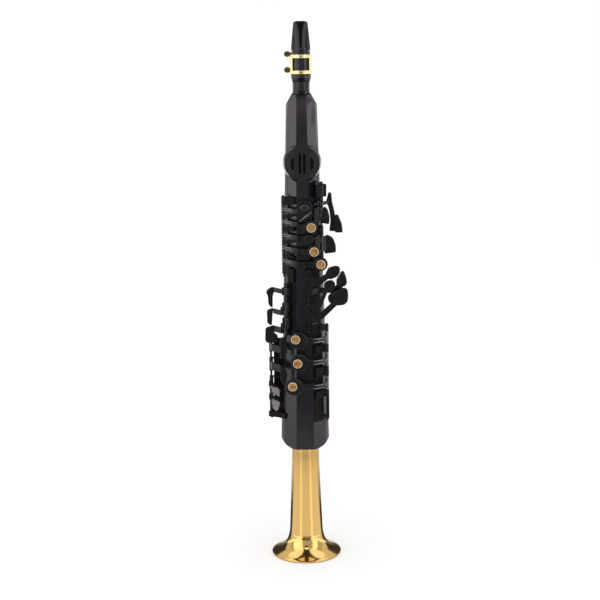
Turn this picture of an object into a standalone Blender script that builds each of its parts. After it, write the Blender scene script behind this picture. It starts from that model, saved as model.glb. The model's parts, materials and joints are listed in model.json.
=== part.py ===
"""A straight electronic saxophone: a faceted housing, levers on hinge rods, a brass bell and a mouthpiece.

Frame: the origin is on the bell's axis in the plane of its rim, +Z runs up to the mouthpiece, -Y is the front,
which carries the finger keys, and +X is the right side seen from the front. All sizes below are millimetres.
"""

import math

import bmesh
import bpy
from mathutils import Matrix, Vector

MM = 0.001
GAP = 0.35

# Housing: a tapered tube with ten flat sides, cut into a front and a rear shell.
BODY_BOTTOM = 161.5
BODY_FULL = 172.0
SHOULDER = 643.0
BODY_TOP = 659.0
WIDTH_LOW, WIDTH_HIGH = 33.4, 21.0
FACET_LOW, FACET_HIGH = 12.4, 7.0
DEPTH_RATIO = 0.85
FACET_END_X, FACET_END_Y = 0.84, 0.52
SIDE_FRONT_Y, SIDE_REAR_Y = 0.12, 0.40
REAR_FACET_X = 0.62
WALL = 2.4
FLOOR_TOP = 176.0
ROOF_BOTTOM = 640.0
TOP_HALF_DEPTH = 11.8
SEAM_Y = 1.5

# Bell: outer radius at each height, from the rim up.
RIM_RADIUS = 49.0
BELL_TOP = 180.5
BELL_OUTSIDE = (
    (49.0, 0.0), (49.0, 1.9), (46.5, 2.8), (41.5, 4.6), (36.0, 7.6), (31.6, 11.4), (28.2, 15.8), (25.9, 21.0),
    (24.2, 27.5), (23.1, 36.0), (21.5, 75.0), (20.3, 110.0), (19.5, 140.0), (19.0, 158.0), (19.0, BELL_TOP),
)
BELL_WALL = 1.1
BELL_FLAT = 2.6
BELL_SIDES = 28

# Neck and mouthpiece: they lean back from the top of the housing.
LEAN_DEG = 8.5
RECEIVER_RADIUS = 11.6
RECEIVER_TOP = 16.6
NECK_RADIUS, NECK_BORE = 6.0, 4.0
CORK_RADIUS = 7.2
MOUTHPIECE_BORE = 7.6
SHANK_START, SHANK_FULL, SHANK_END = 17.0, 21.4, 26.0
SHANK_RADIUS = 13.6
BEAK_START = 59.5
TIP = 97.6
TABLE_Y = 9.4
REED_HALF_WIDTH = 7.2
LIGATURE_INNER, LIGATURE_OUTER = 13.5, 14.6
LIGATURE_LOW, LIGATURE_HIGH = 26.6, 52.4
WINDOW_LOW, WINDOW_HIGH = 31.0, 48.0
REAR_WINDOW_LOW = 36.0
SCREW_Y, SCREW_RISE = 17.3, 3.2

# Speaker: a drum let into the upper front of the housing, flush with its front strip.
SPEAKER_Z = 566.5
SPEAKER_RADIUS = 26.0
SPEAKER_DEPTH = 15.0
MOON_RADIUS, MOON_EDGE = 23.5, 9.0
SLOT_X, SLOT_HALF, SLOT_REACH = 2.9, 1.3, 14.0

# Hinge rods stand along Z at these places, as (x, y).
ROD_RADIUS = 1.5
BARREL_BORE = 2.0
BARREL_RADIUS = 3.0
LEFT_ROD = (-26.5, -13.5)
TABLE_ROD = (6.5, -30.0)
RIGHT_ROD = (31.4, -17.0)
PALM_ROD = (25.5, -16.5)
SIDE_ROD = (-24.5, -21.5)
PINKY_ROD = (-46.5, 1.0)

PEARL_RADIUS = 6.4
PEARL_HEIGHT = 2.6

MATERIALS = {
    "black_plastic": ((0.045, 0.045, 0.05), 0.35, 0.0),
    "grille_plastic": ((0.03, 0.03, 0.033), 0.45, 0.0),
    "key_black": ((0.018, 0.018, 0.022), 0.38, 0.0),
    "rod_black": ((0.05, 0.05, 0.055), 0.3, 0.6),
    "bronze_pearl": ((0.48, 0.25, 0.08), 0.3, 0.5),
    "gold_lacquer": ((0.85, 0.58, 0.2), 0.16, 1.0),
    "dark_brass": ((0.2, 0.12, 0.03), 0.35, 1.0),
    "hard_rubber": ((0.012, 0.012, 0.014), 0.18, 0.0),
    "cane": ((0.76, 0.6, 0.34), 0.6, 0.0),
    "cork": ((0.55, 0.38, 0.22), 0.85, 0.0),
    "circuit_green": ((0.02, 0.16, 0.07), 0.5, 0.0),
    "battery_grey": ((0.2, 0.21, 0.23), 0.4, 0.2),
    "display_glass": ((0.01, 0.012, 0.015), 0.08, 0.0),
    "driver_metal": ((0.3, 0.3, 0.31), 0.4, 0.8),
}


# ---------------------------------------------------------------- shapes


def solid(mesh):
    """A bmesh with every face pointing out."""
    bmesh.ops.remove_doubles(mesh, verts=mesh.verts, dist=1e-4)
    bmesh.ops.recalc_face_normals(mesh, faces=mesh.faces)
    return mesh


def on_axis(axis, a, b, c):
    """A point whose outline coordinates are a and b, and whose place along the axis is c."""
    return {"X": (c, a, b), "Y": (a, c, b), "Z": (a, b, c)}[axis]


def prism(outline, low, high, axis="Z"):
    """An outline extruded along an axis. It is given in (x, y) for Z, in (x, z) for Y and in (y, z) for X."""
    mesh = bmesh.new()
    face = mesh.faces.new([mesh.verts.new(on_axis(axis, a, b, low)) for a, b in outline])
    grown = bmesh.ops.extrude_face_region(mesh, geom=[face])["geom"]
    ends = [item for item in grown if isinstance(item, bmesh.types.BMVert)]
    bmesh.ops.translate(mesh, verts=ends, vec=Vector(on_axis(axis, 0, 0, high - low)))
    return solid(mesh)


def circle(x, y, radius, sides=16):
    step = 2 * math.pi / sides
    return [(x + radius * math.cos(step * i), y + radius * math.sin(step * i)) for i in range(sides)]


def rectangle(x0, x1, y0, y1):
    return [(x0, y0), (x1, y0), (x1, y1), (x0, y1)]


def box(x0, x1, y0, y1, z0, z1):
    return prism(rectangle(x0, x1, y0, y1), z0, z1)


def turned(profile, sides, closed=False):
    """A profile of (radius, height) points spun around Z; a closed profile is a ring."""
    mesh = bmesh.new()
    points = [mesh.verts.new((r, 0, z)) for r, z in profile]
    links = [mesh.edges.new(pair) for pair in zip(points, points[1:])]
    if closed:
        links.append(mesh.edges.new((points[-1], points[0])))
    bmesh.ops.spin(
        mesh, geom=points + links, axis=(0, 0, 1), cent=(0, 0, 0), angle=2 * math.pi, steps=sides,
        use_merge=True
    )
    return solid(mesh)


def loft(rings):
    """Closed rings of equal length bridged in order, with a flat face on each end."""
    mesh = bmesh.new()
    loops = []
    for ring in rings:
        points = [mesh.verts.new(point) for point in ring]
        loops.append([mesh.edges.new(pair) for pair in zip(points, points[1:] + points[:1])])
    for lower, upper in zip(loops, loops[1:]):
        bmesh.ops.bridge_loops(mesh, edges=lower + upper)
    bmesh.ops.contextual_create(mesh, geom=loops[0])
    bmesh.ops.contextual_create(mesh, geom=loops[-1])
    return solid(mesh)


def moved(mesh, matrix):
    mesh.transform(matrix)
    return mesh


def ribbon(path, thickness):
    """The outline of a strip of even thickness along a path, with mitred corners."""
    points = [Vector(point) for point in path]
    left, right = [], []
    for i, point in enumerate(points):
        before = (point - points[i - 1]).normalized() if i else None
        after = (points[i + 1] - point).normalized() if i + 1 < len(points) else None
        along = ((before or after) + (after or before)).normalized()
        across = Vector((-along.y, along.x))
        reach = thickness / 2 / max(0.5, along.dot(after or before))
        left.append(point + across * reach)
        right.append(point - across * reach)
    return [tuple(point) for point in left + right[::-1]]


def bar(path, thickness, low, high):
    """A strip that follows a path seen from above and stands from low to high."""
    return prism(ribbon(path, thickness), low, high)


def plate(outline, y_front, thickness):
    """A flat plate facing the front, from its outline in (x, z)."""
    return prism(outline, y_front, y_front + thickness, "Y")


# ---------------------------------------------------------------- objects


def principled(name):
    found = bpy.data.materials.get(name)
    if found:
        return found
    colour, roughness, metallic = MATERIALS[name]
    made = bpy.data.materials.new(name)
    made.use_nodes = True
    shader = made.node_tree.nodes["Principled BSDF"]
    shader.inputs["Base Color"].default_value = (*colour, 1)
    shader.inputs["Roughness"].default_value = roughness
    shader.inputs["Metallic"].default_value = metallic
    made.diffuse_color = (*colour, 1)
    return made


def linked(name, mesh, collection):
    data = bpy.data.meshes.new(name)
    mesh.to_mesh(data)
    mesh.free()
    made = bpy.data.objects.new(name, data)
    collection.objects.link(made)
    return made


def combine(base, operation, shapes):
    """A Boolean of the base with a group of shapes; returns what has to be removed afterwards."""
    group = bpy.data.collections.new(operation)
    bpy.context.scene.collection.children.link(group)
    tools = [linked(operation, shape, group) for shape in shapes]
    modifier = base.modifiers.new(operation, "BOOLEAN")
    modifier.operation = operation
    modifier.operand_type = "COLLECTION"
    modifier.collection = group
    return group, tools


def fuse(name, material, parts, cuts=(), keep=(), pivot=(0, 0, 0)):
    """One object: the parts joined, less the cuts, within each shape to keep. Its origin is the pivot."""
    scene = bpy.context.scene.collection
    base = linked(name, parts[0], scene)
    used = []
    if len(parts) > 1:
        used.append(combine(base, "UNION", parts[1:]))
    used += [combine(base, "INTERSECT", [shape]) for shape in keep]
    if cuts:
        used.append(combine(base, "DIFFERENCE", cuts))
    seen = base.evaluated_get(bpy.context.evaluated_depsgraph_get())
    mesh = bpy.data.meshes.new_from_object(seen)
    bpy.data.objects.remove(base)
    for group, tools in used:
        for tool in tools:
            bpy.data.objects.remove(tool)
        bpy.data.collections.remove(group)
    mesh.transform(Matrix.Scale(MM, 4) @ Matrix.Translation(-Vector(pivot)))
    mesh.shade_smooth()
    mesh.set_sharp_from_angle(angle=math.radians(32))
    mesh.materials.clear()
    mesh.materials.append(principled(material))
    made = bpy.data.objects.new(name, mesh)
    made.location = Vector(pivot) * MM
    scene.objects.link(made)
    return made


# ---------------------------------------------------------------- housing


def taper(z, low, high):
    share = (SHOULDER - z) / (SHOULDER - BODY_FULL)
    return high + (low - high) * share


def half_width(z):
    return taper(z, WIDTH_LOW, WIDTH_HIGH)


def half_depth(z):
    return DEPTH_RATIO * half_width(z)


def half_facet(z):
    return taper(z, FACET_LOW, FACET_HIGH)


def on_front(z):
    """From a flat frame, with Y into the housing, to a place on its sloping front strip."""
    slope = math.atan((half_depth(z - 50) - half_depth(z + 50)) / 100)
    return Matrix.Translation((0, -half_depth(z), z)) @ Matrix.Rotation(-slope, 4, "X")


def section(z, inset=0.0, depth=None):
    """The housing's outline at one height, as a ring of points."""
    w = half_width(z) - inset
    d = depth or half_depth(z) - inset
    f = half_facet(z) - 0.4 * inset
    right = [
        (f, -d),
        (FACET_END_X * w, -FACET_END_Y * d),
        (w, -SIDE_FRONT_Y * d),
        (w, SIDE_REAR_Y * d),
        (REAR_FACET_X * w, d),
    ]
    left = [(-x, y) for x, y in reversed(right)]
    return [(x, y, z) for x, y in right + left]


def facet_point(z, side, along, lift):
    """A place above one side's sloping front facet: along is 0 at its inner edge and 1 at its outer edge."""
    inner = Vector((half_facet(z), -half_depth(z)))
    outer = Vector((FACET_END_X * half_width(z), -FACET_END_Y * half_depth(z)))
    edge = outer - inner
    out = Vector((edge.y, -edge.x)).normalized()
    point = inner + edge * along + out * lift
    return side * point.x, point.y


def clearance():
    """The housing grown by the gap, for cutting the feet of what stands on it."""
    return loft([section(BODY_BOTTOM - 5, -GAP), section(SHOULDER, -GAP)])


def end_silhouette():
    """The housing seen from the front: rounded lower corners and sloping shoulders."""
    right = [
        (19.0, BODY_BOTTOM), (25.5, BODY_BOTTOM + 2.6), (30.2, BODY_BOTTOM + 6.2), (WIDTH_LOW + 0.2, BODY_FULL),
        (WIDTH_HIGH + 0.2, SHOULDER), (TOP_HALF_DEPTH, BODY_TOP),
    ]
    return right + [(-x, z) for x, z in reversed(right)]


def rear_pad(z0, z1, half, thickness, lift=GAP):
    """A plate that lies on the sloping rear facet."""
    y0, y1 = half_depth(z0) + lift, half_depth(z1) + lift
    outline = [(y0, z0), (y0 + thickness, z0), (y1 + thickness, z1), (y1, z1)]
    return prism(outline, -half, half, "X")


BATTERY_LOW, BATTERY_HIGH, BATTERY_HALF = 186.0, 290.0, 15.0
JACK_LOW, JACK_HIGH, JACK_HALF = 604.0, 628.0, 7.0
CONTROLLER_Z = 527.0
BUTTON_Z, BUTTON_X, BUTTON_RADIUS = 424.0, 6.0, 3.2


def housing():
    def outer():
        rings = [section(BODY_BOTTOM), section(SHOULDER), section(BODY_TOP, depth=TOP_HALF_DEPTH)]
        return loft(rings)

    def inner():
        return loft([section(FLOOR_TOP, WALL), section(ROOF_BOTTOM, WALL)])

    def silhouette():
        return prism(end_silhouette(), -40, 40, "Y")

    bell_hole = circle(0, 0, BELL_OUTSIDE[-1][0] + 0.7, 24)
    neck_hole = circle(0, 0, NECK_RADIUS + 1.0, 16)
    fuse(
        "front_shell", "black_plastic", [outer()],
        keep=[silhouette(), box(-60, 60, -60, SEAM_Y - GAP / 2, 100, 700)],
        cuts=[
            inner(),
            prism(bell_hole, BODY_BOTTOM - 5, FLOOR_TOP + 5),
            prism(neck_hole, ROOF_BOTTOM - 5, BODY_TOP + 5),
            moved(prism(circle(0, 0, SPEAKER_RADIUS + GAP, 40), -30, SPEAKER_DEPTH + GAP, "Y"),
                  on_front(SPEAKER_Z)),
        ],
    )
    fuse(
        "rear_shell", "black_plastic", [outer()],
        keep=[silhouette(), box(-60, 60, SEAM_Y + GAP / 2, 60, 100, 700)],
        cuts=[
            inner(),
            prism(bell_hole, BODY_BOTTOM - 5, FLOOR_TOP + 5),
            prism(neck_hole, ROOF_BOTTOM - 5, BODY_TOP + 5),
            box(-BATTERY_HALF, BATTERY_HALF, 15, 60, BATTERY_LOW, BATTERY_HIGH),
            box(-JACK_HALF, JACK_HALF, 12, 60, JACK_LOW, JACK_HIGH),
            prism(circle(0, CONTROLLER_Z, 4.2), 10, 60, "Y"),
            *(prism(circle(x, BUTTON_Z, BUTTON_RADIUS + 0.4), 10, 60, "Y") for x in (-BUTTON_X, BUTTON_X)),
        ],
    )


def speaker():
    """A drum with a half-moon panel on each side of a flat strip, and slots in the strip and the panels."""
    place = on_front(SPEAKER_Z)
    cuts = [prism(circle(0, 0, SPEAKER_RADIUS - 2.4, 32), 3.2, SPEAKER_DEPTH + 5, "Y")]
    for side in (-1, 1):
        moon = [(x, h) for x, h in circle(0, 0, MOON_RADIUS, 48) if side * x > MOON_EDGE]
        moon.sort(key=lambda point: point[1])
        cuts.append(prism(moon, -5, 1.2, "Y"))
        sound_hole = [(side * (11.2 + 4.6 * math.cos(a)), 8.5 * math.sin(a)) for a in
                      [math.radians(step) for step in range(-90, 91, 30)]]
        cuts.append(prism(sound_hole, -5, 6, "Y"))
        slot = rectangle(side * SLOT_X - SLOT_HALF, side * SLOT_X + SLOT_HALF, -SLOT_REACH, SLOT_REACH)
        cuts.append(prism(slot, -5, 6, "Y"))
    drum = prism(circle(0, 0, SPEAKER_RADIUS, 40), 0, SPEAKER_DEPTH, "Y")
    fuse("speaker_grille", "grille_plastic", [moved(drum, place)], [moved(cut, place) for cut in cuts])

    lie = Matrix.Translation((0, 2.4, SPEAKER_Z)) @ Matrix.Rotation(math.radians(90), 4, "X")
    profile = [(0, 9.5), (6, 10.5), (7.5, 11.5), (17.5, 16.5), (20, 17.2), (20, 14.5), (10, 9), (10, 0), (0, 0)]
    fuse("speaker_driver", "driver_metal", [moved(turned(profile, 24), lie)])


def insides():
    board = box(-13, 13, 6.0, 7.6, 312, 540)
    chips = [box(-8, 8, 3.4, 6.3, z, z + 14) for z in (340, 400, 460)]
    fuse("circuit_board", "circuit_green", [board, *chips])

    cells = [prism(circle(x, 13.6, 7.1), z, z + 50) for x in (-7.3, 7.3) for z in (187, 238.5)]
    tray = box(-14.6, 14.6, 5.0, 8.6, 185, 290.5)
    fuse("battery_pack", "battery_grey", [tray, *cells])

    sensor = box(-6, 6, -4.5, 4.5, 600, 622)
    nozzle = prism(circle(0, 0, 3.0, 12), 620, 638)
    fuse("breath_sensor", "battery_grey", [sensor, nozzle])


def rear_fittings():
    """What the player's thumbs, the strap and the plugs reach, all on the rear facet."""
    fuse("thumb_rest", "key_black", [
        rear_pad(452, 506, 8.0, 2.0),
        prism(circle(0, 462, 8.5, 20), half_depth(462) + 1.5, half_depth(462) + 5.0, "Y"),
        *(box(x0, x0 + 2.4, half_depth(500) + 1, half_depth(500) + 8.2, 494, 504) for x0 in (-8.0, 5.6)),
    ], [prism(circle(half_depth(500) + 5.6, 499, 1.7, 12), -12, 12, "X")])

    pivot = (0, half_depth(500) + 5.6, 499)
    reach = half_depth(486)
    fuse("octave_key", "key_black", [
        prism(circle(pivot[1], pivot[2], 2.4, 12), -5.0, 5.0, "X"),
        prism(circle(pivot[1], pivot[2], 1.2, 12), -8.0, 8.0, "X"),
        prism([(pivot[1] - 1.6, 499), (reach + 5.2, 474), (reach + 8.6, 474), (pivot[1] + 1.6, 499)],
              -4.6, 4.6, "X"),
        prism([(reach + 5.2, 474), (reach + 8.6, 474), (reach + 8.0, 486), (reach + 5.0, 486)], -8.0, 8.0, "X"),
    ], pivot=pivot)

    y = half_depth(CONTROLLER_Z)
    fuse("thumb_controller", "key_black", [
        prism(circle(0, CONTROLLER_Z, 7.5, 20), y + 1.9, y + 4.6, "Y"),
        prism(circle(0, CONTROLLER_Z, 2.4, 12), y - 4, y + 2.2, "Y"),
    ], pivot=(0, y + 1, CONTROLLER_Z))

    z = 304.0
    y = half_depth(z)
    hook = [(y + 1, z), (y + 1, z + 5), (y + 13, z + 6.5), (y + 20, z + 4.0), (y + 24, z - 4), (y + 24, z - 10),
            (y + 21, z - 10), (y + 20.4, z - 4), (y + 18, z + 0.5), (y + 12, z + 2.5)]
    fuse("thumb_hook", "rod_black", [rear_pad(294, 322, 8.0, 2.2), prism(hook, -7.5, 7.5, "X")])

    z = 352.0
    y = half_depth(z) + 8.2
    ring = [prism(circle(y, z, 8.0, 20), -1.8, 1.8, "X"), rear_pad(342, 362, 6.0, 2.0)]
    fuse("strap_ring", "dark_brass", ring, [prism(circle(y + 0.4, z, 5.0, 16), -5, 5, "X")])

    fuse("display_window", "display_glass", [rear_pad(384, 412, 9.5, 1.2)])
    for name, x in (("power_button", -BUTTON_X), ("menu_button", BUTTON_X)):
        y = half_depth(BUTTON_Z)
        shape = prism(circle(x, BUTTON_Z, BUTTON_RADIUS), y - 3.5, y + 1.4, "Y")
        fuse(name, "key_black", [shape], pivot=(x, y, BUTTON_Z))

    sockets = [prism(circle(x, 621, 1.9, 12), 10, 40, "Y") for x in (-3.4, 3.4)]
    fuse("jack_panel", "grille_plastic",
         [rear_pad(JACK_LOW + GAP, JACK_HIGH - GAP, JACK_HALF - GAP, 2.8, -2.2)],
         sockets + [box(-4.2, 4.2, 10, 40, 609.6, 612.4)])

    pivot = (0, half_depth(BATTERY_LOW + GAP), BATTERY_LOW + GAP)
    fuse("battery_cover", "black_plastic",
         [rear_pad(BATTERY_LOW + GAP, BATTERY_HIGH - GAP, BATTERY_HALF - GAP, 2.2, -2.2)], pivot=pivot)


# ---------------------------------------------------------------- bell, neck and mouthpiece


def bell():
    inside = []
    for r, z in reversed(BELL_OUTSIDE[3:]):
        inside.append((r - BELL_WALL - 0.2, z))
    inside[-1] = (BELL_OUTSIDE[3][0] - 0.3, BELL_OUTSIDE[3][1] - 1.6)
    profile = list(BELL_OUTSIDE) + inside + [(RIM_RADIUS - BELL_FLAT, 0.0)]
    fuse("bell", "gold_lacquer", [turned(profile, BELL_SIDES, closed=True)])
    cap = [(0, BELL_TOP + GAP), (19.5, BELL_TOP + GAP), (19.5, FLOOR_TOP + GAP), (23.5, FLOOR_TOP + GAP),
           (23.5, BELL_TOP + 2.2), (0, BELL_TOP + 2.2)]
    fuse("bell_cap", "grille_plastic", [turned(cap, 20)])


def leaning():
    """From the neck's own frame, with Z along it, to the object's frame."""
    return Matrix.Translation((0, 0, BODY_TOP)) @ Matrix.Rotation(math.radians(-LEAN_DEG), 4, "X")


def beak_front(s):
    """How far forward the mouthpiece reaches, at a distance along it."""
    share = max(0.0, (s - BEAK_START) / (TIP - BEAK_START))
    return -13.0 + (TABLE_Y + 10.8) * share


def beak_half_width(s):
    share = max(0.0, (s - BEAK_START) / (TIP - BEAK_START))
    return 13.0 - 3.6 * share


def mouthpiece_ring(s, half, front, rear, sides=20):
    middle, reach = (front + rear) / 2, (rear - front) / 2
    ring = []
    for i in range(sides):
        a = 2 * math.pi * i / sides
        ring.append((half * math.cos(a), middle + reach * math.sin(a), s))
    return ring


def mouthpiece():
    lean = leaning()
    rings = [
        mouthpiece_ring(SHANK_START, 11.8, -11.8, 11.8),
        mouthpiece_ring(SHANK_FULL, SHANK_RADIUS, -SHANK_RADIUS, SHANK_RADIUS),
        mouthpiece_ring(SHANK_END, SHANK_RADIUS, -SHANK_RADIUS, SHANK_RADIUS),
        mouthpiece_ring(SHANK_END + 0.3, 13.0, -13.0, 13.0),
        mouthpiece_ring(BEAK_START, 13.0, -13.0, 13.0),
    ]
    for share in (0.25, 0.5, 0.72, 0.88):
        s = BEAK_START + share * (TIP - BEAK_START)
        rings.append(mouthpiece_ring(s, beak_half_width(s), beak_front(s), TABLE_Y + 4.5 * (1 - share)))
    rings.append(mouthpiece_ring(TIP - 1.8, 8.2, beak_front(TIP) - 1.0, TABLE_Y + 0.3))
    rings.append(mouthpiece_ring(TIP - 0.5, 6.4, beak_front(TIP) - 0.5, TABLE_Y + 0.1))
    rings.append(mouthpiece_ring(TIP, 4.2, beak_front(TIP) - 0.1, TABLE_Y))
    chamber = [(-6.0, 46), (6.5, 46), (6.5, 60), (14, 60), (14, 90), (7.6, 90), (-6.0, 64)]
    fuse("mouthpiece", "hard_rubber", [moved(loft(rings), lean)], [
        moved(box(-20, 20, TABLE_Y, 20, SHANK_END + 0.3, 120), lean),
        moved(prism(circle(0, 0, MOUTHPIECE_BORE, 20), 10, 50), lean),
        moved(prism(chamber, -5.5, 5.5, "X"), lean),
    ])

    heel, tip = 30.0, TIP - 0.9
    back = [(REED_HALF_WIDTH * math.cos(a), TABLE_Y + GAP + 1.0 + 1.9 * math.sin(a))
            for a in [math.radians(step) for step in range(0, 181, 30)]]
    flat = [(-REED_HALF_WIDTH, TABLE_Y + GAP), (REED_HALF_WIDTH, TABLE_Y + GAP)]
    vamp = [(TABLE_Y + 3.6, 58), (TABLE_Y + 1.0, tip + 1), (TABLE_Y + 9, tip + 1), (TABLE_Y + 9, 58)]
    fuse("reed", "cane", [moved(prism(back + flat, heel, tip), lean)], [moved(prism(vamp, -12, 12, "X"), lean)])


def ligature():
    """Two bands joined at the sides, with split ears behind that two thumb screws draw together."""
    lean = leaning()
    bands = ((LIGATURE_LOW + WINDOW_LOW) / 2, (LIGATURE_HIGH + WINDOW_HIGH) / 2)
    screws = [s + SCREW_RISE for s in bands]
    sleeve = [(LIGATURE_INNER, LIGATURE_LOW), (LIGATURE_OUTER, LIGATURE_LOW),
              (LIGATURE_OUTER, LIGATURE_HIGH), (LIGATURE_INNER, LIGATURE_HIGH)]
    ears = [box(-5.5, 5.5, LIGATURE_OUTER - 0.9, 20.0, s - 2.6, s + 2.6) for s in screws]
    cuts = [
        box(-11.4, 11.4, -20, 0, WINDOW_LOW, WINDOW_HIGH),
        box(-9, 9, 0, 25, REAR_WINDOW_LOW, WINDOW_HIGH),
        box(-0.9, 0.9, 5, 25, 20, 60),
        *(prism(circle(SCREW_Y, s, 1.6, 12), -9, 9, "X") for s in screws),
        *(prism(circle(0, s, 1.3, 12), -20, 0, "Y") for s in bands),
    ]
    fuse("ligature", "gold_lacquer", [moved(shape, lean) for shape in (turned(sleeve, 24, closed=True), *ears)],
         [moved(cut, lean) for cut in cuts])
    for name, s in zip(("ligature_screw_lower", "ligature_screw_upper"), screws):
        wing = [(-18.2 + 4.7 * math.cos(a), s + 3.9 * math.sin(a)) for a in
                [2 * math.pi * i / 20 for i in range(20)]]
        fuse(name, "dark_brass", [
            moved(prism(circle(SCREW_Y, s, 1.15, 12), -15.5, 7.5, "X"), lean),
            moved(prism(circle(SCREW_Y, s, 2.2, 12), -14.5, -6.2, "X"), lean),
            moved(prism(wing, SCREW_Y - 1.2, SCREW_Y + 1.2, "Y"), lean),
        ], pivot=tuple(lean @ Vector((0, SCREW_Y, s))))


def neck():
    lean = leaning()
    fuse("neck_receiver", "key_black", [
        prism(circle(0, 0, RECEIVER_RADIUS, 28), BODY_TOP + GAP, BODY_TOP + 8),
        moved(prism(circle(0, 0, RECEIVER_RADIUS, 28), 4, RECEIVER_TOP), lean),
        moved(prism(circle(0, 0, NECK_RADIUS, 20), RECEIVER_TOP - 1, 46), lean),
        prism(circle(0, 0, NECK_RADIUS, 20), ROOF_BOTTOM + 1, BODY_TOP + 1),
    ], [
        prism(circle(0, 0, NECK_BORE, 16), ROOF_BOTTOM - 5, BODY_TOP + 2),
        moved(prism(circle(0, 0, NECK_BORE, 16), 0, 60), lean),
    ])
    cork = [(NECK_RADIUS + GAP, RECEIVER_TOP + 2), (CORK_RADIUS, RECEIVER_TOP + 2),
            (CORK_RADIUS, 45.0), (NECK_RADIUS + GAP, 45.0)]
    fuse("neck_cork", "cork", [moved(turned(cork, 20, closed=True), lean)])


# ---------------------------------------------------------------- keys


def rod_with_posts(name, place, low, high, posts, extra=()):
    """A hinge rod and its posts: each post has its own height range and a foot beside the housing."""
    x, y = place
    parts = [prism(circle(x, y, ROD_RADIUS, 10), low, high)]
    for z0, z1, foot in posts:
        parts.append(prism(circle(x, y, 2.7, 10), z0, z1))
        parts.append(bar([(x, y), foot], 3.6, z0, z1))
    return fuse(name, "rod_black", parts + list(extra), [clearance()])


def key(name, place, z0, z1, shapes, material="key_black"):
    """A lever: a barrel around its rod, joined to its own arms and touches."""
    x, y = place
    barrel = prism(circle(x, y, BARREL_RADIUS, 16), z0, z1)
    bore = prism(circle(x, y, BARREL_BORE, 12), z0 - 10, z1 + 10)
    return fuse(name, material, [barrel, *shapes], [bore], pivot=(x, y, (z0 + z1) / 2))


def pearl(name, x, z, y_seat):
    """A finger button, slightly dished, that sits on a key's cup."""
    lie = Matrix.Translation((x, y_seat - GAP, z)) @ Matrix.Rotation(math.radians(90), 4, "X")
    profile = [(0, 0), (PEARL_RADIUS, 0), (PEARL_RADIUS, PEARL_HEIGHT - 0.8), (PEARL_RADIUS - 0.8, PEARL_HEIGHT),
               (0, PEARL_HEIGHT - 0.7)]
    fuse(name, "bronze_pearl", [moved(turned(profile, 20), lie)])


def mounting_strip(side, z0, z1, start=None):
    """A thin strip along a sloping facet, on which posts stand; start is how far onto the front it begins."""
    rings = []
    for z in (z0, z1):
        over, under = [], []
        if start is not None:
            over.append((side * start, -half_depth(z) - 1.0))
            under.append((side * start, -half_depth(z) + 0.5))
        over += [facet_point(z, side, 0.04, 1.0), facet_point(z, side, 0.9, 1.0)]
        under += [facet_point(z, side, 0.04, -0.5), facet_point(z, side, 0.9, -0.5)]
        rings.append([(x, y, z) for x, y in over + under[::-1]])
    return loft(rings)


def left_arm(z0, z1, reach=6.6):
    """The flat arm from the left rod over the sloping facet to its inner edge."""
    z = (z0 + z1) / 2
    path = [LEFT_ROD, facet_point(z, -1, 0.78, 5.6), facet_point(z, -1, 0.08, 6.4),
            (-7.0, -half_depth(z) - reach)]
    return bar(path, 2.6, z0, z1)


def left_hand_keys():
    posts = []
    heights = ((508.2, 520.5), (490.6, 495.4), (471.8, 478.4), (454.2, 459.4), (436.2, 441.4), (412, 422.8))
    for z0, z1 in heights:
        posts.append((z0, z1, facet_point(z0, -1, 0.62, 0)))
    left_blocks = [bar([facet_point(z0, -1, 0.70, 2.4), facet_point(z0, -1, 0.16, 2.4)], 3.4, z0, z1)
                   for z0, z1, _ in posts]
    rod_with_posts("left_rod", LEFT_ROD, 408, 522, posts, left_blocks)

    def front_y(z):
        return -half_depth(z) - 9.2

    face_y = front_y(500) + 1.0
    front_f = [(-8, 499), (-4, 492), (0, 487.8), (5, 490.6), (13, 494), (13, 512), (8, 517), (-3, 517), (-8, 511)]
    ribs = [plate([(-5 + d, 489.5 + d), (-3.6 + d, 488.6 + d), (8.5 + d, 497.0 + d), (7.8 + d, 498.4 + d)],
                  face_y - 0.9, 1.4) for d in (0.0, 3.6)]
    oval = plate([(2.5 + 6.4 * math.cos(a), 507.5 + 4.6 * math.sin(a)) for a in
                  [2 * math.pi * i / 18 for i in range(18)]], face_y - 1.6, 2.2)
    key("front_f_key", LEFT_ROD, 496.4, 507.2,
        [left_arm(498.5, 505.5), plate(front_f, face_y, 2.6), oval, *ribs])

    stack = (
        ("b_key", 479.4, 489.6, (471.0, 484.6), 11.0, 480.4, 9.0),
        ("bis_key", 460.4, 470.8, (454.6, 468.2), 8.0, 463.6, 6.8),
        ("a_key", 442.4, 453.2, (435.4, 450.4), 14.6, 446.8, 9.0),
        ("g_key", 423.8, 435.2, (422.6, 432.4), 23.8, 429.0, 9.6),
    )
    for name, z0, z1, (low, high), x, z, radius in stack:
        y = front_y(z)
        touch = plate(circle(x, z, radius, 20), y, 3.0)
        wide = plate(rectangle(-8.2, 2.0, low, high), y + 1.0, 2.6)
        neck_low, neck_high = max(low, z - 4.2), min(high, z + 4.2)
        link = plate(rectangle(0.5, x, neck_low, neck_high), y + 0.6, 2.4)
        key(name, LEFT_ROD, z0, z1, [left_arm(z0 + 1.5, z1 - 1.5), wide, link, touch])
        if name != "bis_key":
            pearl(name.replace("key", "pearl"), x + 0.4, z, y)


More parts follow.
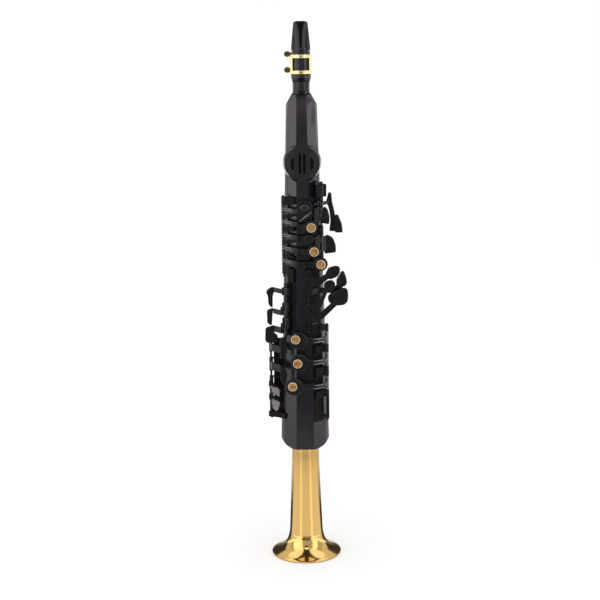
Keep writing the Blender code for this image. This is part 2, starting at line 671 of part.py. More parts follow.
def table_keys():
    """Four levers for the left little finger, on one rod at the front, with their touches on the right."""
    x, y = TABLE_ROD
    posts = [(z0, z1, (x, -half_depth(z0))) for z0, z1 in ((412.4, 421), (374.2, 384), (334, 349.4))]
    heads = [box(x - 3.4, x + 4.6, y - 2.6, y + 1.0, z0, z1) for z0, z1, _ in posts]
    rod_with_posts("table_rod", TABLE_ROD, 332, 421.6, posts, [*heads, mounting_strip(1, 343, 421.6, 3.0)])
    front, depth = y - 1.5, 3.0

    def saddle(z0, z1):
        return plate(rectangle(x - 3.4, x + 5.6, z0, z1), y - 3.0, 3.0)

    g_sharp_touch = [(31.4, 415.6), (36.4, 422.8), (45.2, 426), (50.2, 423.4), (50.4, 418.2), (46.2, 412.6),
                     (37, 408.8), (32, 410.8)]
    key("g_sharp_key", TABLE_ROD, 396.2, 411.4, [
        saddle(396.2, 411.4),
        plate([(x, 398.4), (24, 400.0), (37, 410.5), (33, 416.5), (23, 410.2), (x, 410.2)], front, depth),
        plate(g_sharp_touch, front - 1.2, 4.2),
    ])

    c_sharp_touch = [(45.8, 406.8), (52.0, 417.2), (56.2, 415.6), (58.0, 408), (58.4, 401.8), (55.2, 398.2),
                     (47.8, 397.6), (45.2, 401.8)]
    lowered = -23.5
    key("low_c_sharp_key", TABLE_ROD, 385.2, 395.2, [
        saddle(385.2, 395.2),
        bar([TABLE_ROD, (15, -27.4), (22, lowered), (47, lowered)], 2.6, 386.4, 394.0),
        plate([(42, 386.4), (49, 386.4), (57, 400), (50, 404), (42, 394)], lowered - 1.3, 2.6),
        plate(c_sharp_touch, front - 1.0, lowered - front + 2.3),
    ])

    low_b_touch = [(29.2, 401.8), (37.4, 405.2), (41.4, 402.6), (42.8, 396.4), (36.8, 389.6), (31.2, 390.8),
                   (29.2, 395.6)]
    key("low_b_key", TABLE_ROD, 362.8, 373.2, [
        saddle(362.8, 373.2),
        plate([(x, 363.8), (18.5, 363.8), (24.0, 368), (33.4, 391), (29.4, 394), (19.4, 372.4), (x, 372.4)],
              front, depth),
        plate(low_b_touch, front - 1.2, 4.2),
    ])

    low_b_flat_touch = [(33.8, 382.2), (36.0, 387.2), (44.2, 391.8), (56.6, 395.4), (60.0, 392), (61.4, 384.2),
                        (59.6, 376), (55.0, 371.8), (44.0, 371), (35.2, 376)]
    key("low_b_flat_key", TABLE_ROD, 350.4, 361.2, [
        saddle(350.4, 361.2),
        plate([(x, 351.2), (26, 351.2), (46.5, 371.6), (40.0, 376), (23, 360.4), (x, 360.4)], front, depth),
        plate(low_b_flat_touch, front - 1.2, 4.2),
    ])


def palm_tail(z0, z1):
    """The part of a palm key that lies over the sloping facet, inwards from its rod."""
    z = (z0 + z1) / 2
    return bar([PALM_ROD, facet_point(z, 1, 0.72, 5.0), facet_point(z, 1, 0.34, 3.0)], 2.4, z0, z1)


def palm_keys():
    """Three levers at the upper right, pressed by the left palm."""
    heights = ((513.4, 540), (505.2, 507.4), (466.4, 480.0), (430, 442.4))
    posts = [(z0, z1, facet_point(z0, 1, 0.8, 0)) for z0, z1 in heights]
    bracket = bar([(19.0, -22.5), PALM_ROD, (31.5, -12.5)], 5.0, 520, 537)
    blocks = [bar([facet_point(z0, 1, 0.8, 2.0), facet_point(z0, 1, 0.12, 2.0)], 3.2, z0, z1)
              for z0, z1 in heights[2:]]
    rod_with_posts("palm_rod", PALM_ROD, 428, 541, posts, [bracket, *blocks, mounting_strip(1, 428, 541)])

    lever = [(32.5, 512.5), (35.5, 524), (39.4, 523), (40.4, 511), (43.2, 499), (45.6, 486), (45.4, 469.4),
             (36.0, 469.4), (38.0, 484), (36.8, 497), (34.4, 506.4), (32.5, 507.8)]
    paddle = [(43.6, 490.5), (48.6, 491.4), (53.4, 480), (54.8, 468.4), (43.6, 468.4)]
    key("palm_d_key", PALM_ROD, 507.9, 512.9, [
        bar([PALM_ROD, (31, -11.5), (35.5, -6.5)], 3.2, 508.2, 512.6),
        palm_tail(508.4, 512.4),
        plate(lever, -8.2, 3.6),
        plate(paddle, -12.5, 13.5),
    ])
    e_flat = [(24.6, 484.0), (36.0, 481.5), (36.8, 492.5), (34.2, 502.6), (29.8, 507.2), (25.6, 499.8)]
    key("palm_e_flat_key", PALM_ROD, 487.0, 504.8, [
        bar([PALM_ROD, (30.5, -16.5)], 3.6, 488, 499),
        palm_tail(484.0, 504.2),
        plate(e_flat, -19.5, 3.4),
    ])
    f_paddle = [(29.0, 439.4), (45.2, 441.0), (44.8, 452.0), (41.0, 461.6), (34.0, 465.6), (29.0, 464.4)]
    key("palm_f_key", PALM_ROD, 443.0, 465.8, [
        bar([PALM_ROD, (31, -13.0)], 3.6, 444, 464),
        palm_tail(443.6, 465.2),
        plate(f_paddle, -14.5, 4.0),
    ])


def side_keys():
    """Three levers at the left, pressed by the side of the right forefinger."""
    x, y = SIDE_ROD
    posts = [(z0, z1, facet_point(z0, -1, 0.72, 0))
             for z0, z1 in ((394.6, 399), (373.0, 382.8), (351.6, 359.8), (326, 335.4))]
    rod_with_posts("side_rod", SIDE_ROD, 324.5, 400, posts, [mounting_strip(-1, 324.5, 400)])
    keys = (
        ("side_e_key", 383.6, 394.0, (385.4, 391.8),
         [(-52.2, 386.0), (-49.4, 380.0), (-49.0, 369.0), (-45.8, 364.2), (-43.0, 363.4), (-42.6, 380.0),
          (-40.4, 386.0), (-41.0, 392.0), (-46.0, 391.0)]),
        ("side_c_key", 360.6, 372.4, (354.4, 361.4),
         [(-51.2, 358.8), (-50.8, 341.6), (-47.4, 338.4), (-44.4, 338.0), (-43.2, 354.0), (-41.8, 361.2),
          (-45.0, 361.2)]),
        ("side_b_flat_key", 336.0, 350.8, (328.4, 337.0),
         [(-53.4, 333.4), (-54.2, 316.4), (-51.4, 312.6), (-36.4, 312.6), (-36.4, 322.6), (-41.8, 326.4),
          (-41.4, 337.0), (-44.4, 336.4)]),
    )
    for name, z0, z1, (low, high), touch in keys:
        reach = bar([(-28.6, -20.0), (-34.0, -17.4), (-41.5, -9.6)], 2.8, low, high)
        block = bar([(x + 4.4, y), (x - 5.2, y + 0.8)], 6.2, z0, z1)
        riser = bar([(-29.4, -20.6), (-30.4, -18.8)], 5.0, low, (z0 + z1) / 2)
        key(name, SIDE_ROD, z0, z1, [block, riser, reach, plate(touch, -12.0, 5.5)])


def little_finger_keys():
    """Four levers at the lower left for the right hand."""
    y = PINKY_ROD[1]
    posts = []
    heights = ((312.6, 316), (296.8, 298.4), (286.8, 288.4), (269.0, 270.6), (260.0, 261.6), (237.4, 242.8),
               (202, 221.4))
    for z0, z1 in heights:
        posts.append((z0, z1, (-half_width(z0), y)))
    frame = [bar([(-50.5, -3.0), (-36.0, -8.5), facet_point(206, -1, 0.9, 1.2)], 3.0, 203.0, 211.0),
             bar([(-46.5, 1.0), (-49.0, -3.5)], 4.0, 203.0, 211.0)]
    guard = [box(-43.0, -28.0, 2.2, 4.4, 204, 261.0), box(-43.0, -28.0, 2.2, 4.4, 269.5, 288.0),
             box(-43.0, -28.0, 2.2, 4.4, 297.2, 315.0), box(-40.6, -28.0, 2.2, 4.4, 214, 312.0)]
    rod_with_posts("pinky_rod", PINKY_ROD, 200, 317, posts, frame + guard)

    f_sharp = [(-33.8, 322.6), (-29.6, 323.8), (-24.8, 320), (-23.6, 304), (-27.4, 292.8), (-33.8, 292.4)]
    key("high_f_sharp_key", PINKY_ROD, 299.2, 311.8, [
        bar([PINKY_ROD, (-44.6, -9), (-33.0, -21.2)], 3.0, 300.4, 310.6),
        plate(f_sharp, -24.4, 3.6),
    ])
    trill = [(-33.0, 284.0), (-29.4, 283.0), (-23.4, 271.6), (-27.0, 257.8), (-31.2, 257.8), (-33.4, 262.4)]
    key("f_trill_key", PINKY_ROD, 271.4, 286.0, [
        bar([PINKY_ROD, (-44.6, -9), (-32.6, -22.4)], 3.0, 273.0, 284.0),
        plate(trill, -25.6, 3.6),
    ])
    e_flat = [(-50.0, 257.6), (-47.0, 257.6), (-35.8, 248.8), (-34.4, 245), (-34.4, 232.6), (-46.6, 240.8),
              (-46.6, 247.0), (-50.0, 250.0)]
    key("low_e_flat_key", PINKY_ROD, 243.6, 259.2, [
        bar([PINKY_ROD, (-48.0, -11.4)], 3.4, 249.0, 257.2),
        plate(e_flat, -14.4, 4.0),
    ])
    low_c = [(-50.0, 239.2), (-47.4, 238.8), (-34.4, 229.4), (-34.4, 223.6), (-36.8, 215.2), (-40.4, 212.8),
             (-45.4, 218), (-46.6, 229), (-50.0, 231)]
    key("low_c_key", PINKY_ROD, 222.2, 236.6, [
        bar([PINKY_ROD, (-48.0, -11.4)], 3.4, 230.6, 236.0),
        plate(low_c, -14.4, 4.0),
    ])


def right_hand_keys():
    """Three levers whose round cups lie over the front, hinged on a rod at the right."""
    heights = ((330.8, 340), (300.6, 312.0), (266.0, 280.2), (236, 246.2), (203, 209))
    posts = [(z0, z1, facet_point(z0, 1, 0.9, 0)) for z0, z1 in heights]
    blocks = []
    for z0, z1 in heights[1:4]:
        outer, inner = facet_point(z0, 1, 0.86, 3.2), facet_point(z0, 1, 0.12, 3.2)
        blocks.append(bar([outer, inner], 4.6, z0, z1))
    guard = box(29.6, 34.0, -19.6, -14.4, 206, 240)
    rod_with_posts("right_rod", RIGHT_ROD, 201, 341.5, posts, [*blocks, guard, mounting_strip(1, 201, 341.5)])

    stack = (
        ("f_key", 313.0, 329.8, -7.6, 321.6, -11.8, 324.2),
        ("e_key", 281.2, 299.6, -7.0, 290.6, -9.4, 289.8),
        ("d_key", 247.2, 265.0, -14.2, 255.6, -16.8, 257.0),
    )
    for name, z0, z1, cup_x, cup_z, pearl_x, pearl_z in stack:
        y_cup = -half_depth(cup_z) - 11.6
        bend = (27.6, y_cup + 9.5)
        arm_path = [RIGHT_ROD, bend, (18.0, y_cup + 3.2), (cup_x + 6, y_cup + 2.2)]
        key(name, RIGHT_ROD, z0, z1, [
            bar(arm_path, 2.8, cup_z - 3.0, cup_z + 3.0),
            plate(rectangle(cup_x + 4, 12.4, cup_z - 4.8, cup_z + 4.8), y_cup + 0.6, 3.4),
            plate(circle(cup_x, cup_z, 12.4, 24), y_cup, 4.0),
        ])
        pearl(name.replace("key", "pearl"), pearl_x, pearl_z, y_cup)


def main():
    for old in list(bpy.data.objects):
        bpy.data.objects.remove(old)
    housing()
    speaker()
    insides()
    rear_fittings()
    bell()
    neck()
    mouthpiece()
    ligature()
    left_hand_keys()
    table_keys()
    palm_keys()
    side_keys()
    little_finger_keys()
    right_hand_keys()


main()
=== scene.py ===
"""The looks of a straight electronic saxophone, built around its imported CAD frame.

Lengths are in millimetres, and MM turns them into the frame's metres. Sizes of materials and of the
stage are in metres. -Y is the front, +X the right side seen from the front, and +Z runs up to the
mouthpiece.
"""

import json
import math

import bmesh
import bpy
from mathutils import Matrix, Vector


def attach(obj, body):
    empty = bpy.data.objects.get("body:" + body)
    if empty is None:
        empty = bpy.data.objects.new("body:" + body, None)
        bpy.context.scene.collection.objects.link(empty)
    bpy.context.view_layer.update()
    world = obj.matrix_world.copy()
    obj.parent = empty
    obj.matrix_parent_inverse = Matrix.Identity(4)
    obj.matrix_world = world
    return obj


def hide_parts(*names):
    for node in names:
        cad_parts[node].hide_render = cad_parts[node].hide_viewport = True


MM = 0.001
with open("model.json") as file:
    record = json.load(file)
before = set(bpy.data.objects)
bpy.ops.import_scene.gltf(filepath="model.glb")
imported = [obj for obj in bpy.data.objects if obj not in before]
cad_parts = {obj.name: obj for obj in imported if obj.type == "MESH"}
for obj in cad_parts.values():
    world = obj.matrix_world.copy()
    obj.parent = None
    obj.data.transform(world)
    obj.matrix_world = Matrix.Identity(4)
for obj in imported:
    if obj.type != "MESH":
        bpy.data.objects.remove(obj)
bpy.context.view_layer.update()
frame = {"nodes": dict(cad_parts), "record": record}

BODY_OF = {}
for body_name, members in frame["record"]["behaviour"]["bodies"].items():
    for member in members:
        BODY_OF[member] = body_name

# Housing, as in the CAD source: it tapers from its full width, just above the bell, to its shoulder.
BODY_FULL, SHOULDER, BODY_TOP = 172.0, 643.0, 659.0
WIDTH_LOW, WIDTH_HIGH = 33.4, 21.0
FACET_LOW, FACET_HIGH = 12.4, 7.0
DEPTH_RATIO = 0.85
FACET_END_X, FACET_END_Y = 0.84, 0.52
WALL, SEAM_Y, SEAM_LOW, SEAM_HIGH = 2.4, 1.5, 176.0, 638.0
GAP = 0.35

# Bell: pairs of outer radius and height.
BELL_PROFILE = (
    (49.0, 1.0), (46.5, 2.4), (41.5, 4.4), (36.0, 7.5), (31.6, 11.4), (28.2, 15.8), (25.9, 21.0),
    (24.2, 27.5), (23.1, 36.0), (21.5, 75.0), (20.3, 110.0), (19.5, 140.0), (19.0, 158.0), (19.0, 180.5),
)
BELL_WALL = 1.3

# Neck, mouthpiece and ligature: heights run along their leaning axis, from the top of the housing.
LEAN_DEG = 8.5
RECEIVER_RADIUS, RECEIVER_TOP = 11.6, 16.6
NECK_RADIUS, NECK_BORE = 6.0, 4.0
SHANK_START, SHANK_FULL, SHANK_END, SHANK_RADIUS = 17.0, 21.4, 26.0, 13.6
BEAK_START, BEAK_RADIUS, TIP = 59.5, 13.0, 97.6
TABLE_Y = 9.4
REED_HALF_WIDTH = 7.2
LIGATURE_INNER, LIGATURE_OUTER = 13.5, 14.6
LIGATURE_LOW, LIGATURE_HIGH = 26.6, 52.4
WINDOW_LOW, WINDOW_HIGH, REAR_WINDOW_LOW = 31.0, 48.0, 36.0
SCREW_Y, SCREW_RISE = 17.3, 3.2

# Speaker: a drum with a half-moon panel on each side, a hole in each panel and two slots in the middle.
SPEAKER_Z, SPEAKER_RADIUS, SPEAKER_DEPTH = 566.5, 26.0, 15.0
MOON_RADIUS, MOON_EDGE = 23.5, 9.0
SLOT_X, SLOT_HALF, SLOT_REACH = 2.9, 1.3, 14.0
HOLE_X, HOLE_WIDTH, HOLE_REACH = 11.2, 4.6, 8.5
GRILLE_THICKNESS, ROUND_SIDES = 3.2, 128

# Hinge rods: x and y of each axis. Finger buttons stand on the levers.
ROD_RADIUS, BARREL_BORE, BARREL_RADIUS = 1.5, 2.0, 3.0
LEFT_ROD = (-26.5, -13.5)
TABLE_ROD = (6.5, -30.0)
RIGHT_ROD = (31.4, -17.0)
PALM_ROD = (25.5, -16.5)
SIDE_ROD = (-24.5, -21.5)
PINKY_ROD = (-46.5, 1.0)
PEARL_RADIUS, PEARL_HEIGHT = 6.4, 2.6


# ------------ materials


# The noise of a finish drifts from its dark to its light colour between these two values.
DRIFT_LOW, DRIFT_HIGH = 0.3, 0.7
SMOOTHEST = 0.02
PLUM = (1.0, 0.92, 1.0)
LENGTHWISE = (1, 1, 0.08)


def link(tree, a, b):
    tree.links.new(a, b)


def node(tree, kind, **values):
    made = tree.nodes.new(kind)
    for name, value in values.items():
        made.inputs[name].default_value = value
    return made


def finish(name, dark, light, roughness, spread=0.06, metallic=0.0, specular=0.5, coat=0.0,
           coat_roughness=0.08, tint=(1, 1, 1), patch=0.012, grain=0.0003, depth=0.00002,
           stretch=(1, 1, 1)):
    """A surface whose colour and roughness drift over patches, with a fine grain in relief."""
    made = bpy.data.materials.new(name)
    made.use_nodes = True
    tree = made.node_tree
    shader = tree.nodes["Principled BSDF"]
    shader.inputs["Metallic"].default_value = metallic
    shader.inputs["Specular IOR Level"].default_value = specular
    shader.inputs["Specular Tint"].default_value = (*tint, 1)
    shader.inputs["Coat Weight"].default_value = coat
    shader.inputs["Coat Roughness"].default_value = coat_roughness
    place = node(tree, "ShaderNodeTexCoord")
    scaled = node(tree, "ShaderNodeMapping", Scale=stretch)
    link(tree, place.outputs["Object"], scaled.inputs["Vector"])
    drift = node(tree, "ShaderNodeTexNoise", Scale=1 / patch, Detail=4.0, Roughness=0.6)
    link(tree, scaled.outputs["Vector"], drift.inputs["Vector"])
    ramp = node(tree, "ShaderNodeValToRGB")
    for stop, position, colour in zip(ramp.color_ramp.elements, (DRIFT_LOW, DRIFT_HIGH), (dark, light)):
        stop.position = position
        stop.color = (*colour, 1)
    link(tree, drift.outputs["Fac"], ramp.inputs["Fac"])
    link(tree, ramp.outputs["Color"], shader.inputs["Base Color"])
    rough = node(tree, "ShaderNodeMapRange", **{
        "From Min": DRIFT_LOW, "From Max": DRIFT_HIGH,
        "To Min": max(SMOOTHEST, roughness - spread), "To Max": roughness + spread,
    })
    link(tree, drift.outputs["Fac"], rough.inputs["Value"])
    link(tree, rough.outputs["Result"], shader.inputs["Roughness"])
    fine = node(tree, "ShaderNodeTexNoise", Scale=1 / grain, Detail=2.0)
    link(tree, scaled.outputs["Vector"], fine.inputs["Vector"])
    bump = node(tree, "ShaderNodeBump", Strength=0.35, Distance=depth)
    link(tree, fine.outputs["Fac"], bump.inputs["Height"])
    link(tree, bump.outputs["Normal"], shader.inputs["Normal"])
    return made


def grey(value, blue=1.1):
    """A grey whose blue is raised by a factor."""
    return value, value, value * blue


MATERIALS = {
    "body": finish("moulded_black", (0.0085, 0.0078, 0.0092), (0.0115, 0.0105, 0.0122), 0.22, 0.03,
                   specular=0.64, tint=PLUM, grain=0.0004),
    "grille": finish("speaker_black", grey(0.010), grey(0.015), 0.3, 0.05, specular=0.7, tint=PLUM,
                     grain=0.0005),
    # The drum's grey is far lighter than the housing's black: painted light, for the lit crescents at its
    # sides.
    "drum": finish("drum_painted_light_grey", grey(0.07, 1.05), grey(0.1, 1.05), 0.3, 0.05, specular=0.9, coat=0.9,
                   coat_roughness=0.25, grain=0.0005),
    "key": finish("satin_black", grey(0.005), grey(0.009), 0.3, 0.06, specular=0.35,
                  patch=0.008, grain=0.0005),
    "touch": finish("touch_black", grey(0.007), grey(0.012), 0.40, 0.06, specular=0.45, patch=0.006,
                    grain=0.0006, depth=0.00005),
    "rod": finish("black_chrome", grey(0.018), grey(0.035), 0.24, 0.06, metallic=0.6, patch=0.01,
                  stretch=LENGTHWISE),
    "matte": finish("matte_black", grey(0.0025), grey(0.005), 0.5, 0.08, specular=0.12, patch=0.006,
                    grain=0.0005),
    "barrel": finish("barrel_black", grey(0.02), grey(0.04), 0.14, 0.04, metallic=0.5, specular=0.8, coat=0.5,
                     patch=0.01, stretch=LENGTHWISE),
    # Silver for the right hand's barrels, which are black: a painted highlight in place of the glints along
    # their edges.
    "sleeve": finish("barrel_silver_painted_highlight", grey(0.30, 1.0), grey(0.42, 1.0), 0.14, 0.04, metallic=1.0,
                     patch=0.01, stretch=LENGTHWISE),
    # Light grey on black keys: painted highlight lines along the raised ribs.
    "rail": finish("rail_painted_highlight", grey(0.16), grey(0.26), 0.3, 0.06, metallic=0.7, patch=0.006),
    "bronze": finish("bronze_pearl", (0.27, 0.12, 0.03), (0.62, 0.37, 0.16), 0.2, 0.05, metallic=0.35,
                     coat=0.5, patch=0.0035, grain=0.0015),
    # Pale gold on the button's rounded rim: a painted highlight where the rim catches light.
    "rim": finish("pearl_rim_painted_highlight", (0.62, 0.46, 0.30), (0.78, 0.62, 0.43), 0.2, 0.05, metallic=0.3, coat=0.4,
                  patch=0.005),
    # A paler gold with a diffuse part, so the ligature's bands look bright all over: painted highlight.
    "lacquer": finish("gold_lacquer_painted_highlight", (0.88, 0.64, 0.25), (0.95, 0.78, 0.40), 0.22, 0.04,
                      metallic=0.55, coat=0.4, patch=0.02, grain=0.002, depth=0.00001),
    "gold": finish("gold_lacquer", (0.72, 0.455, 0.145), (0.77, 0.49, 0.17), 0.13, 0.03, metallic=1.0,
                   coat=0.2, coat_roughness=0.06, patch=0.03, grain=0.002, depth=0.00001,
                   stretch=(1, 1, 0.15)),
    "brass": finish("dark_brass", (0.11, 0.07, 0.02), (0.20, 0.13, 0.045), 0.3, 0.08, metallic=1.0,
                    patch=0.004),
    "rubber": finish("hard_rubber", grey(0.003, 1.0), grey(0.006, 1.0), 0.12, 0.03, specular=0.45, tint=PLUM,
                     patch=0.02, stretch=(1, 1, 0.3)),
    "receiver": finish("receiver_black", grey(0.004), grey(0.007), 0.18, 0.04, specular=0.35),
    "cane": finish("cane", (0.60, 0.42, 0.18), (0.80, 0.62, 0.34), 0.55, 0.05, patch=0.0006, grain=0.0002,
                   depth=0.00006, stretch=(1, 1, 0.03)),
    "cork": finish("cork", (0.30, 0.17, 0.08), (0.62, 0.43, 0.25), 0.85, 0.05, patch=0.0012, grain=0.0006,
                   depth=0.0002),
    "board": finish("circuit_green", (0.008, 0.09, 0.03), (0.02, 0.2, 0.08), 0.4, 0.08, patch=0.003,
                    stretch=(1, 1, 0.3)),
    "cells": finish("battery_grey", grey(0.14), grey(0.22), 0.4, 0.06, metallic=0.3, patch=0.01),
    "glass": finish("display_black", grey(0.004), grey(0.006), 0.06, 0.02, specular=0.7, coat=1.0,
                    coat_roughness=0.03, patch=0.03, depth=0.000002),
    "driver": finish("driver_metal", grey(0.2), grey(0.32), 0.4, 0.08, metallic=0.8, patch=0.006),
    # Pinkish grey for insets on two little-finger touches: painted sheen where the touches catch light.
    "sheen_inset": finish("grey_painted_sheen", (0.16, 0.135, 0.14), (0.26, 0.215, 0.225), 0.4, 0.06, specular=0.6,
                   patch=0.003, grain=0.0005, depth=0.00006),
}


# ------------ shapes


def solid(mesh):
    """Joins doubled points and turns every face outwards."""
    bmesh.ops.remove_doubles(mesh, verts=mesh.verts, dist=1e-4)
    bmesh.ops.recalc_face_normals(mesh, faces=mesh.faces)
    return mesh


def rounded(mesh, width=0.45, segments=2, chosen=None):
    """Rounds the edges over 28 degrees, or those of them that are chosen."""
    edges = []
    for edge in mesh.edges:
        if len(edge.link_faces) == 2 and edge.calc_face_angle() > math.radians(28):
            if chosen is None or chosen(edge):
                edges.append(edge)
    if edges:
        bmesh.ops.bevel(mesh, geom=edges, offset=width, offset_type="OFFSET", segments=segments, profile=0.5,
                        affect="EDGES", clamp_overlap=True)
    return mesh


def on_axis(axis, a, b, c):
    return {"X": (c, a, b), "Y": (a, c, b), "Z": (a, b, c)}[axis]


def prism(outline, low, high, axis="Z"):
    """An outline carried along an axis from low to high."""
    mesh = bmesh.new()
    face = mesh.faces.new([mesh.verts.new(on_axis(axis, a, b, low)) for a, b in outline])
    grown = bmesh.ops.extrude_face_region(mesh, geom=[face])["geom"]
    ends = [item for item in grown if isinstance(item, bmesh.types.BMVert)]
    bmesh.ops.translate(mesh, verts=ends, vec=Vector(on_axis(axis, 0, 0, high - low)))
    return solid(mesh)


def circle(x, y, radius, sides=48):
    step = 2 * math.pi / sides
    return [(x + radius * math.cos(step * i), y + radius * math.sin(step * i)) for i in range(sides)]


def oval(x, y, half_x, half_y, sides):
    angles = [2 * math.pi * i / sides for i in range(sides)]
    return [(x + half_x * math.cos(a), y + half_y * math.sin(a)) for a in angles]


def rectangle(x0, x1, y0, y1):
    return [(x0, y0), (x1, y0), (x1, y1), (x0, y1)]


def box(x0, x1, y0, y1, z0, z1):
    return prism(rectangle(x0, x1, y0, y1), z0, z1)


def turned(profile, sides=48, closed=False):
    """Pairs of radius and height turned about the Z axis; a closed profile makes a ring."""
    mesh = bmesh.new()
    points = [mesh.verts.new((r, 0, z)) for r, z in profile]
    links = [mesh.edges.new(pair) for pair in zip(points, points[1:])]
    if closed:
        links.append(mesh.edges.new((points[-1], points[0])))
    bmesh.ops.spin(mesh, geom=points + links, axis=(0, 0, 1), cent=(0, 0, 0), angle=2 * math.pi, steps=sides,
                   use_merge=True)
    return solid(mesh)


def loft(rings):
    """A closed shell through rings that have the same number of points."""
    mesh = bmesh.new()
    loops = []
    for ring in rings:
        points = [mesh.verts.new(point) for point in ring]
        loops.append([mesh.edges.new(pair) for pair in zip(points, points[1:] + points[:1])])
    for lower, upper in zip(loops, loops[1:]):
        bmesh.ops.bridge_loops(mesh, edges=lower + upper)
    bmesh.ops.contextual_create(mesh, geom=loops[0])
    bmesh.ops.contextual_create(mesh, geom=loops[-1])
    return solid(mesh)


def moved(mesh, matrix):
    mesh.transform(matrix)
    return mesh


def smooth_path(points, steps=6):
    """Catmull-Rom points through a list of pairs."""
    made = []
    for i in range(len(points) - 1):
        p0, p1 = Vector(points[max(0, i - 1)]), Vector(points[i])
        p2, p3 = Vector(points[i + 1]), Vector(points[min(len(points) - 1, i + 2)])
        for k in range(steps):
            t = k / steps
            made.append(tuple(0.5 * ((2 * p1) + (p2 - p0) * t + (2 * p0 - 5 * p1 + 4 * p2 - p3) * t * t
                                     + (3 * p1 - p0 - 3 * p2 + p3) * t ** 3)))
    made.append(tuple(points[-1]))
    return made


def soft_outline(outline, radius=2.6, steps=5):
    """Rounds the corners of a closed outline by up to a radius, staying inside the one given."""
    points = [Vector(point) for point in outline]
    made = []
    for i, point in enumerate(points):
        before, after = points[i - 1] - point, points[(i + 1) % len(points)] - point
        reach = min(radius, 0.42 * before.length, 0.42 * after.length)
        start, end = point + before.normalized() * reach, point + after.normalized() * reach
        for k in range(steps + 1):
            u = k / steps
            made.append(tuple(start * (1 - u) ** 2 + point * (2 * u * (1 - u)) + end * u ** 2))
    return made


def ribbon(path, thickness):
    """The outline of a strip of one thickness along a path, with mitred corners."""
    points = [Vector(point) for point in path]
    left, right = [], []
    for i, point in enumerate(points):
        before = (point - points[i - 1]).normalized() if i else None
        after = (points[i + 1] - point).normalized() if i + 1 < len(points) else None
        along = ((before or after) + (after or before)).normalized()
        across = Vector((-along.y, along.x))
        reach = thickness / 2 / max(0.5, along.dot(after or before))
        left.append(point + across * reach)
        right.append(point - across * reach)
    return [tuple(point) for point in left + right[::-1]]


def from_barrel(path, start=2.5):
    """A path whose first point, on a rod's axis, is moved out of the barrel's bore."""
    first, second = Vector(path[0]), Vector(path[1])
    return [tuple(first + (second - first).normalized() * start), *path[1:]]


def bar(path, thickness, low, high, width=0.7):
    return rounded(prism(ribbon(path, thickness), low, high), width)


def plate(outline, y_front, thickness, width=0.7):
    return rounded(prism(outline, y_front, y_front + thickness, "Y"), width)


def pad(outline, y_front, thickness, crown=1.3, back=0.4):
    """A finger touch: rounded corners, a full round-over in front and a small one behind."""
    mesh = prism(soft_outline(outline), y_front, y_front + thickness, "Y")
    middle = y_front + thickness / 2
    rounded(mesh, min(crown, thickness * 0.45), 4, lambda edge: all(v.co.y < middle for v in edge.verts))
    rounded(mesh, back, 1, lambda edge: all(v.co.y > middle for v in edge.verts))
    return mesh


# ------------ pieces


def to_object(name, shells, finish_name):
    """Closed shells in millimetres as one object in metres, with smooth faces between sharp edges."""
    whole = bmesh.new()
    for shell in shells:
        part = bpy.data.meshes.new("shell")
        shell.to_mesh(part)
        shell.free()
        whole.from_mesh(part)
        bpy.data.meshes.remove(part)
    whole.transform(Matrix.Scale(MM, 4))
    data = bpy.data.meshes.new(name)
    whole.to_mesh(data)
    whole.free()
    data.shade_smooth()
    data.set_sharp_from_angle(angle=math.radians(50))
    data.materials.append(MATERIALS[finish_name])
    made = bpy.data.objects.new(name, data)
    bpy.context.scene.collection.objects.link(made)
    weighted = made.modifiers.new("weighted", "WEIGHTED_NORMAL")
    weighted.keep_sharp = True
    return made


def piece(name, shells, finish_name, replaces=(), body=None):
    """A piece that rides on a body: the one given, or that of the first node it replaces."""
    made = to_object(name, shells, finish_name)
    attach(made, body or BODY_OF[replaces[0]])
    if replaces:
        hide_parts(*replaces)


def cut_from(shell, cuts):
    """A shell less some others, by Boolean."""
    collection = bpy.context.scene.collection
    objects = []
    for mesh in (shell, *cuts):
        data = bpy.data.meshes.new("cut")
        mesh.to_mesh(data)
        mesh.free()
        objects.append(bpy.data.objects.new("cut", data))
        collection.objects.link(objects[-1])
    base = objects[0]
    for tool in objects[1:]:
        modifier = base.modifiers.new("cut", "BOOLEAN")
        modifier.operation = "DIFFERENCE"
        modifier.object = tool
    seen = base.evaluated_get(bpy.context.evaluated_depsgraph_get())
    mesh = bmesh.new()
    mesh.from_mesh(seen.to_mesh())
    for thing in objects:
        bpy.data.objects.remove(thing)
    return solid(mesh)


def from_cad(node_name, finish_name, width):
    """A CAD node's own shape with flat faces merged and its edges rounded inwards."""
    mesh = bmesh.new()
    mesh.from_mesh(frame["nodes"][node_name].data)
    mesh.transform(Matrix.Scale(1 / MM, 4))
    bmesh.ops.remove_doubles(mesh, verts=mesh.verts, dist=0.01)
    bmesh.ops.dissolve_limit(mesh, angle_limit=math.radians(1.0), verts=mesh.verts, edges=mesh.edges)
    bmesh.ops.recalc_face_normals(mesh, faces=mesh.faces)
    sharp = [edge for edge in mesh.edges
             if len(edge.link_faces) == 2 and edge.calc_face_angle() > math.radians(26)
             and edge.calc_length() > 2 * width]
    bmesh.ops.bevel(mesh, geom=sharp, offset=width, offset_type="OFFSET", segments=2, profile=0.5,
                    affect="EDGES", clamp_overlap=True)
    piece(node_name + "_fine", [mesh], finish_name, [node_name])


# ------------ housing


def taper(z, low, high):
    """A size at height z that goes from low at BODY_FULL to high at SHOULDER."""
    return high + (low - high) * (SHOULDER - z) / (SHOULDER - BODY_FULL)


def half_width(z):
    return taper(z, WIDTH_LOW, WIDTH_HIGH)


def half_depth(z):
    return DEPTH_RATIO * half_width(z)


def half_facet(z):
    return taper(z, FACET_LOW, FACET_HIGH)


def facet_point(z, side, along, lift):
    """A place over a side's sloping facet: along is 0 at its inner edge and 1 at its outer edge."""
    inner = Vector((half_facet(z), -half_depth(z)))
    outer = Vector((FACET_END_X * half_width(z), -FACET_END_Y * half_depth(z)))
    edge = outer - inner
    out = Vector((edge.y, -edge.x)).normalized()
    point = inner + edge * along + out * lift
    return side * point.x, point.y


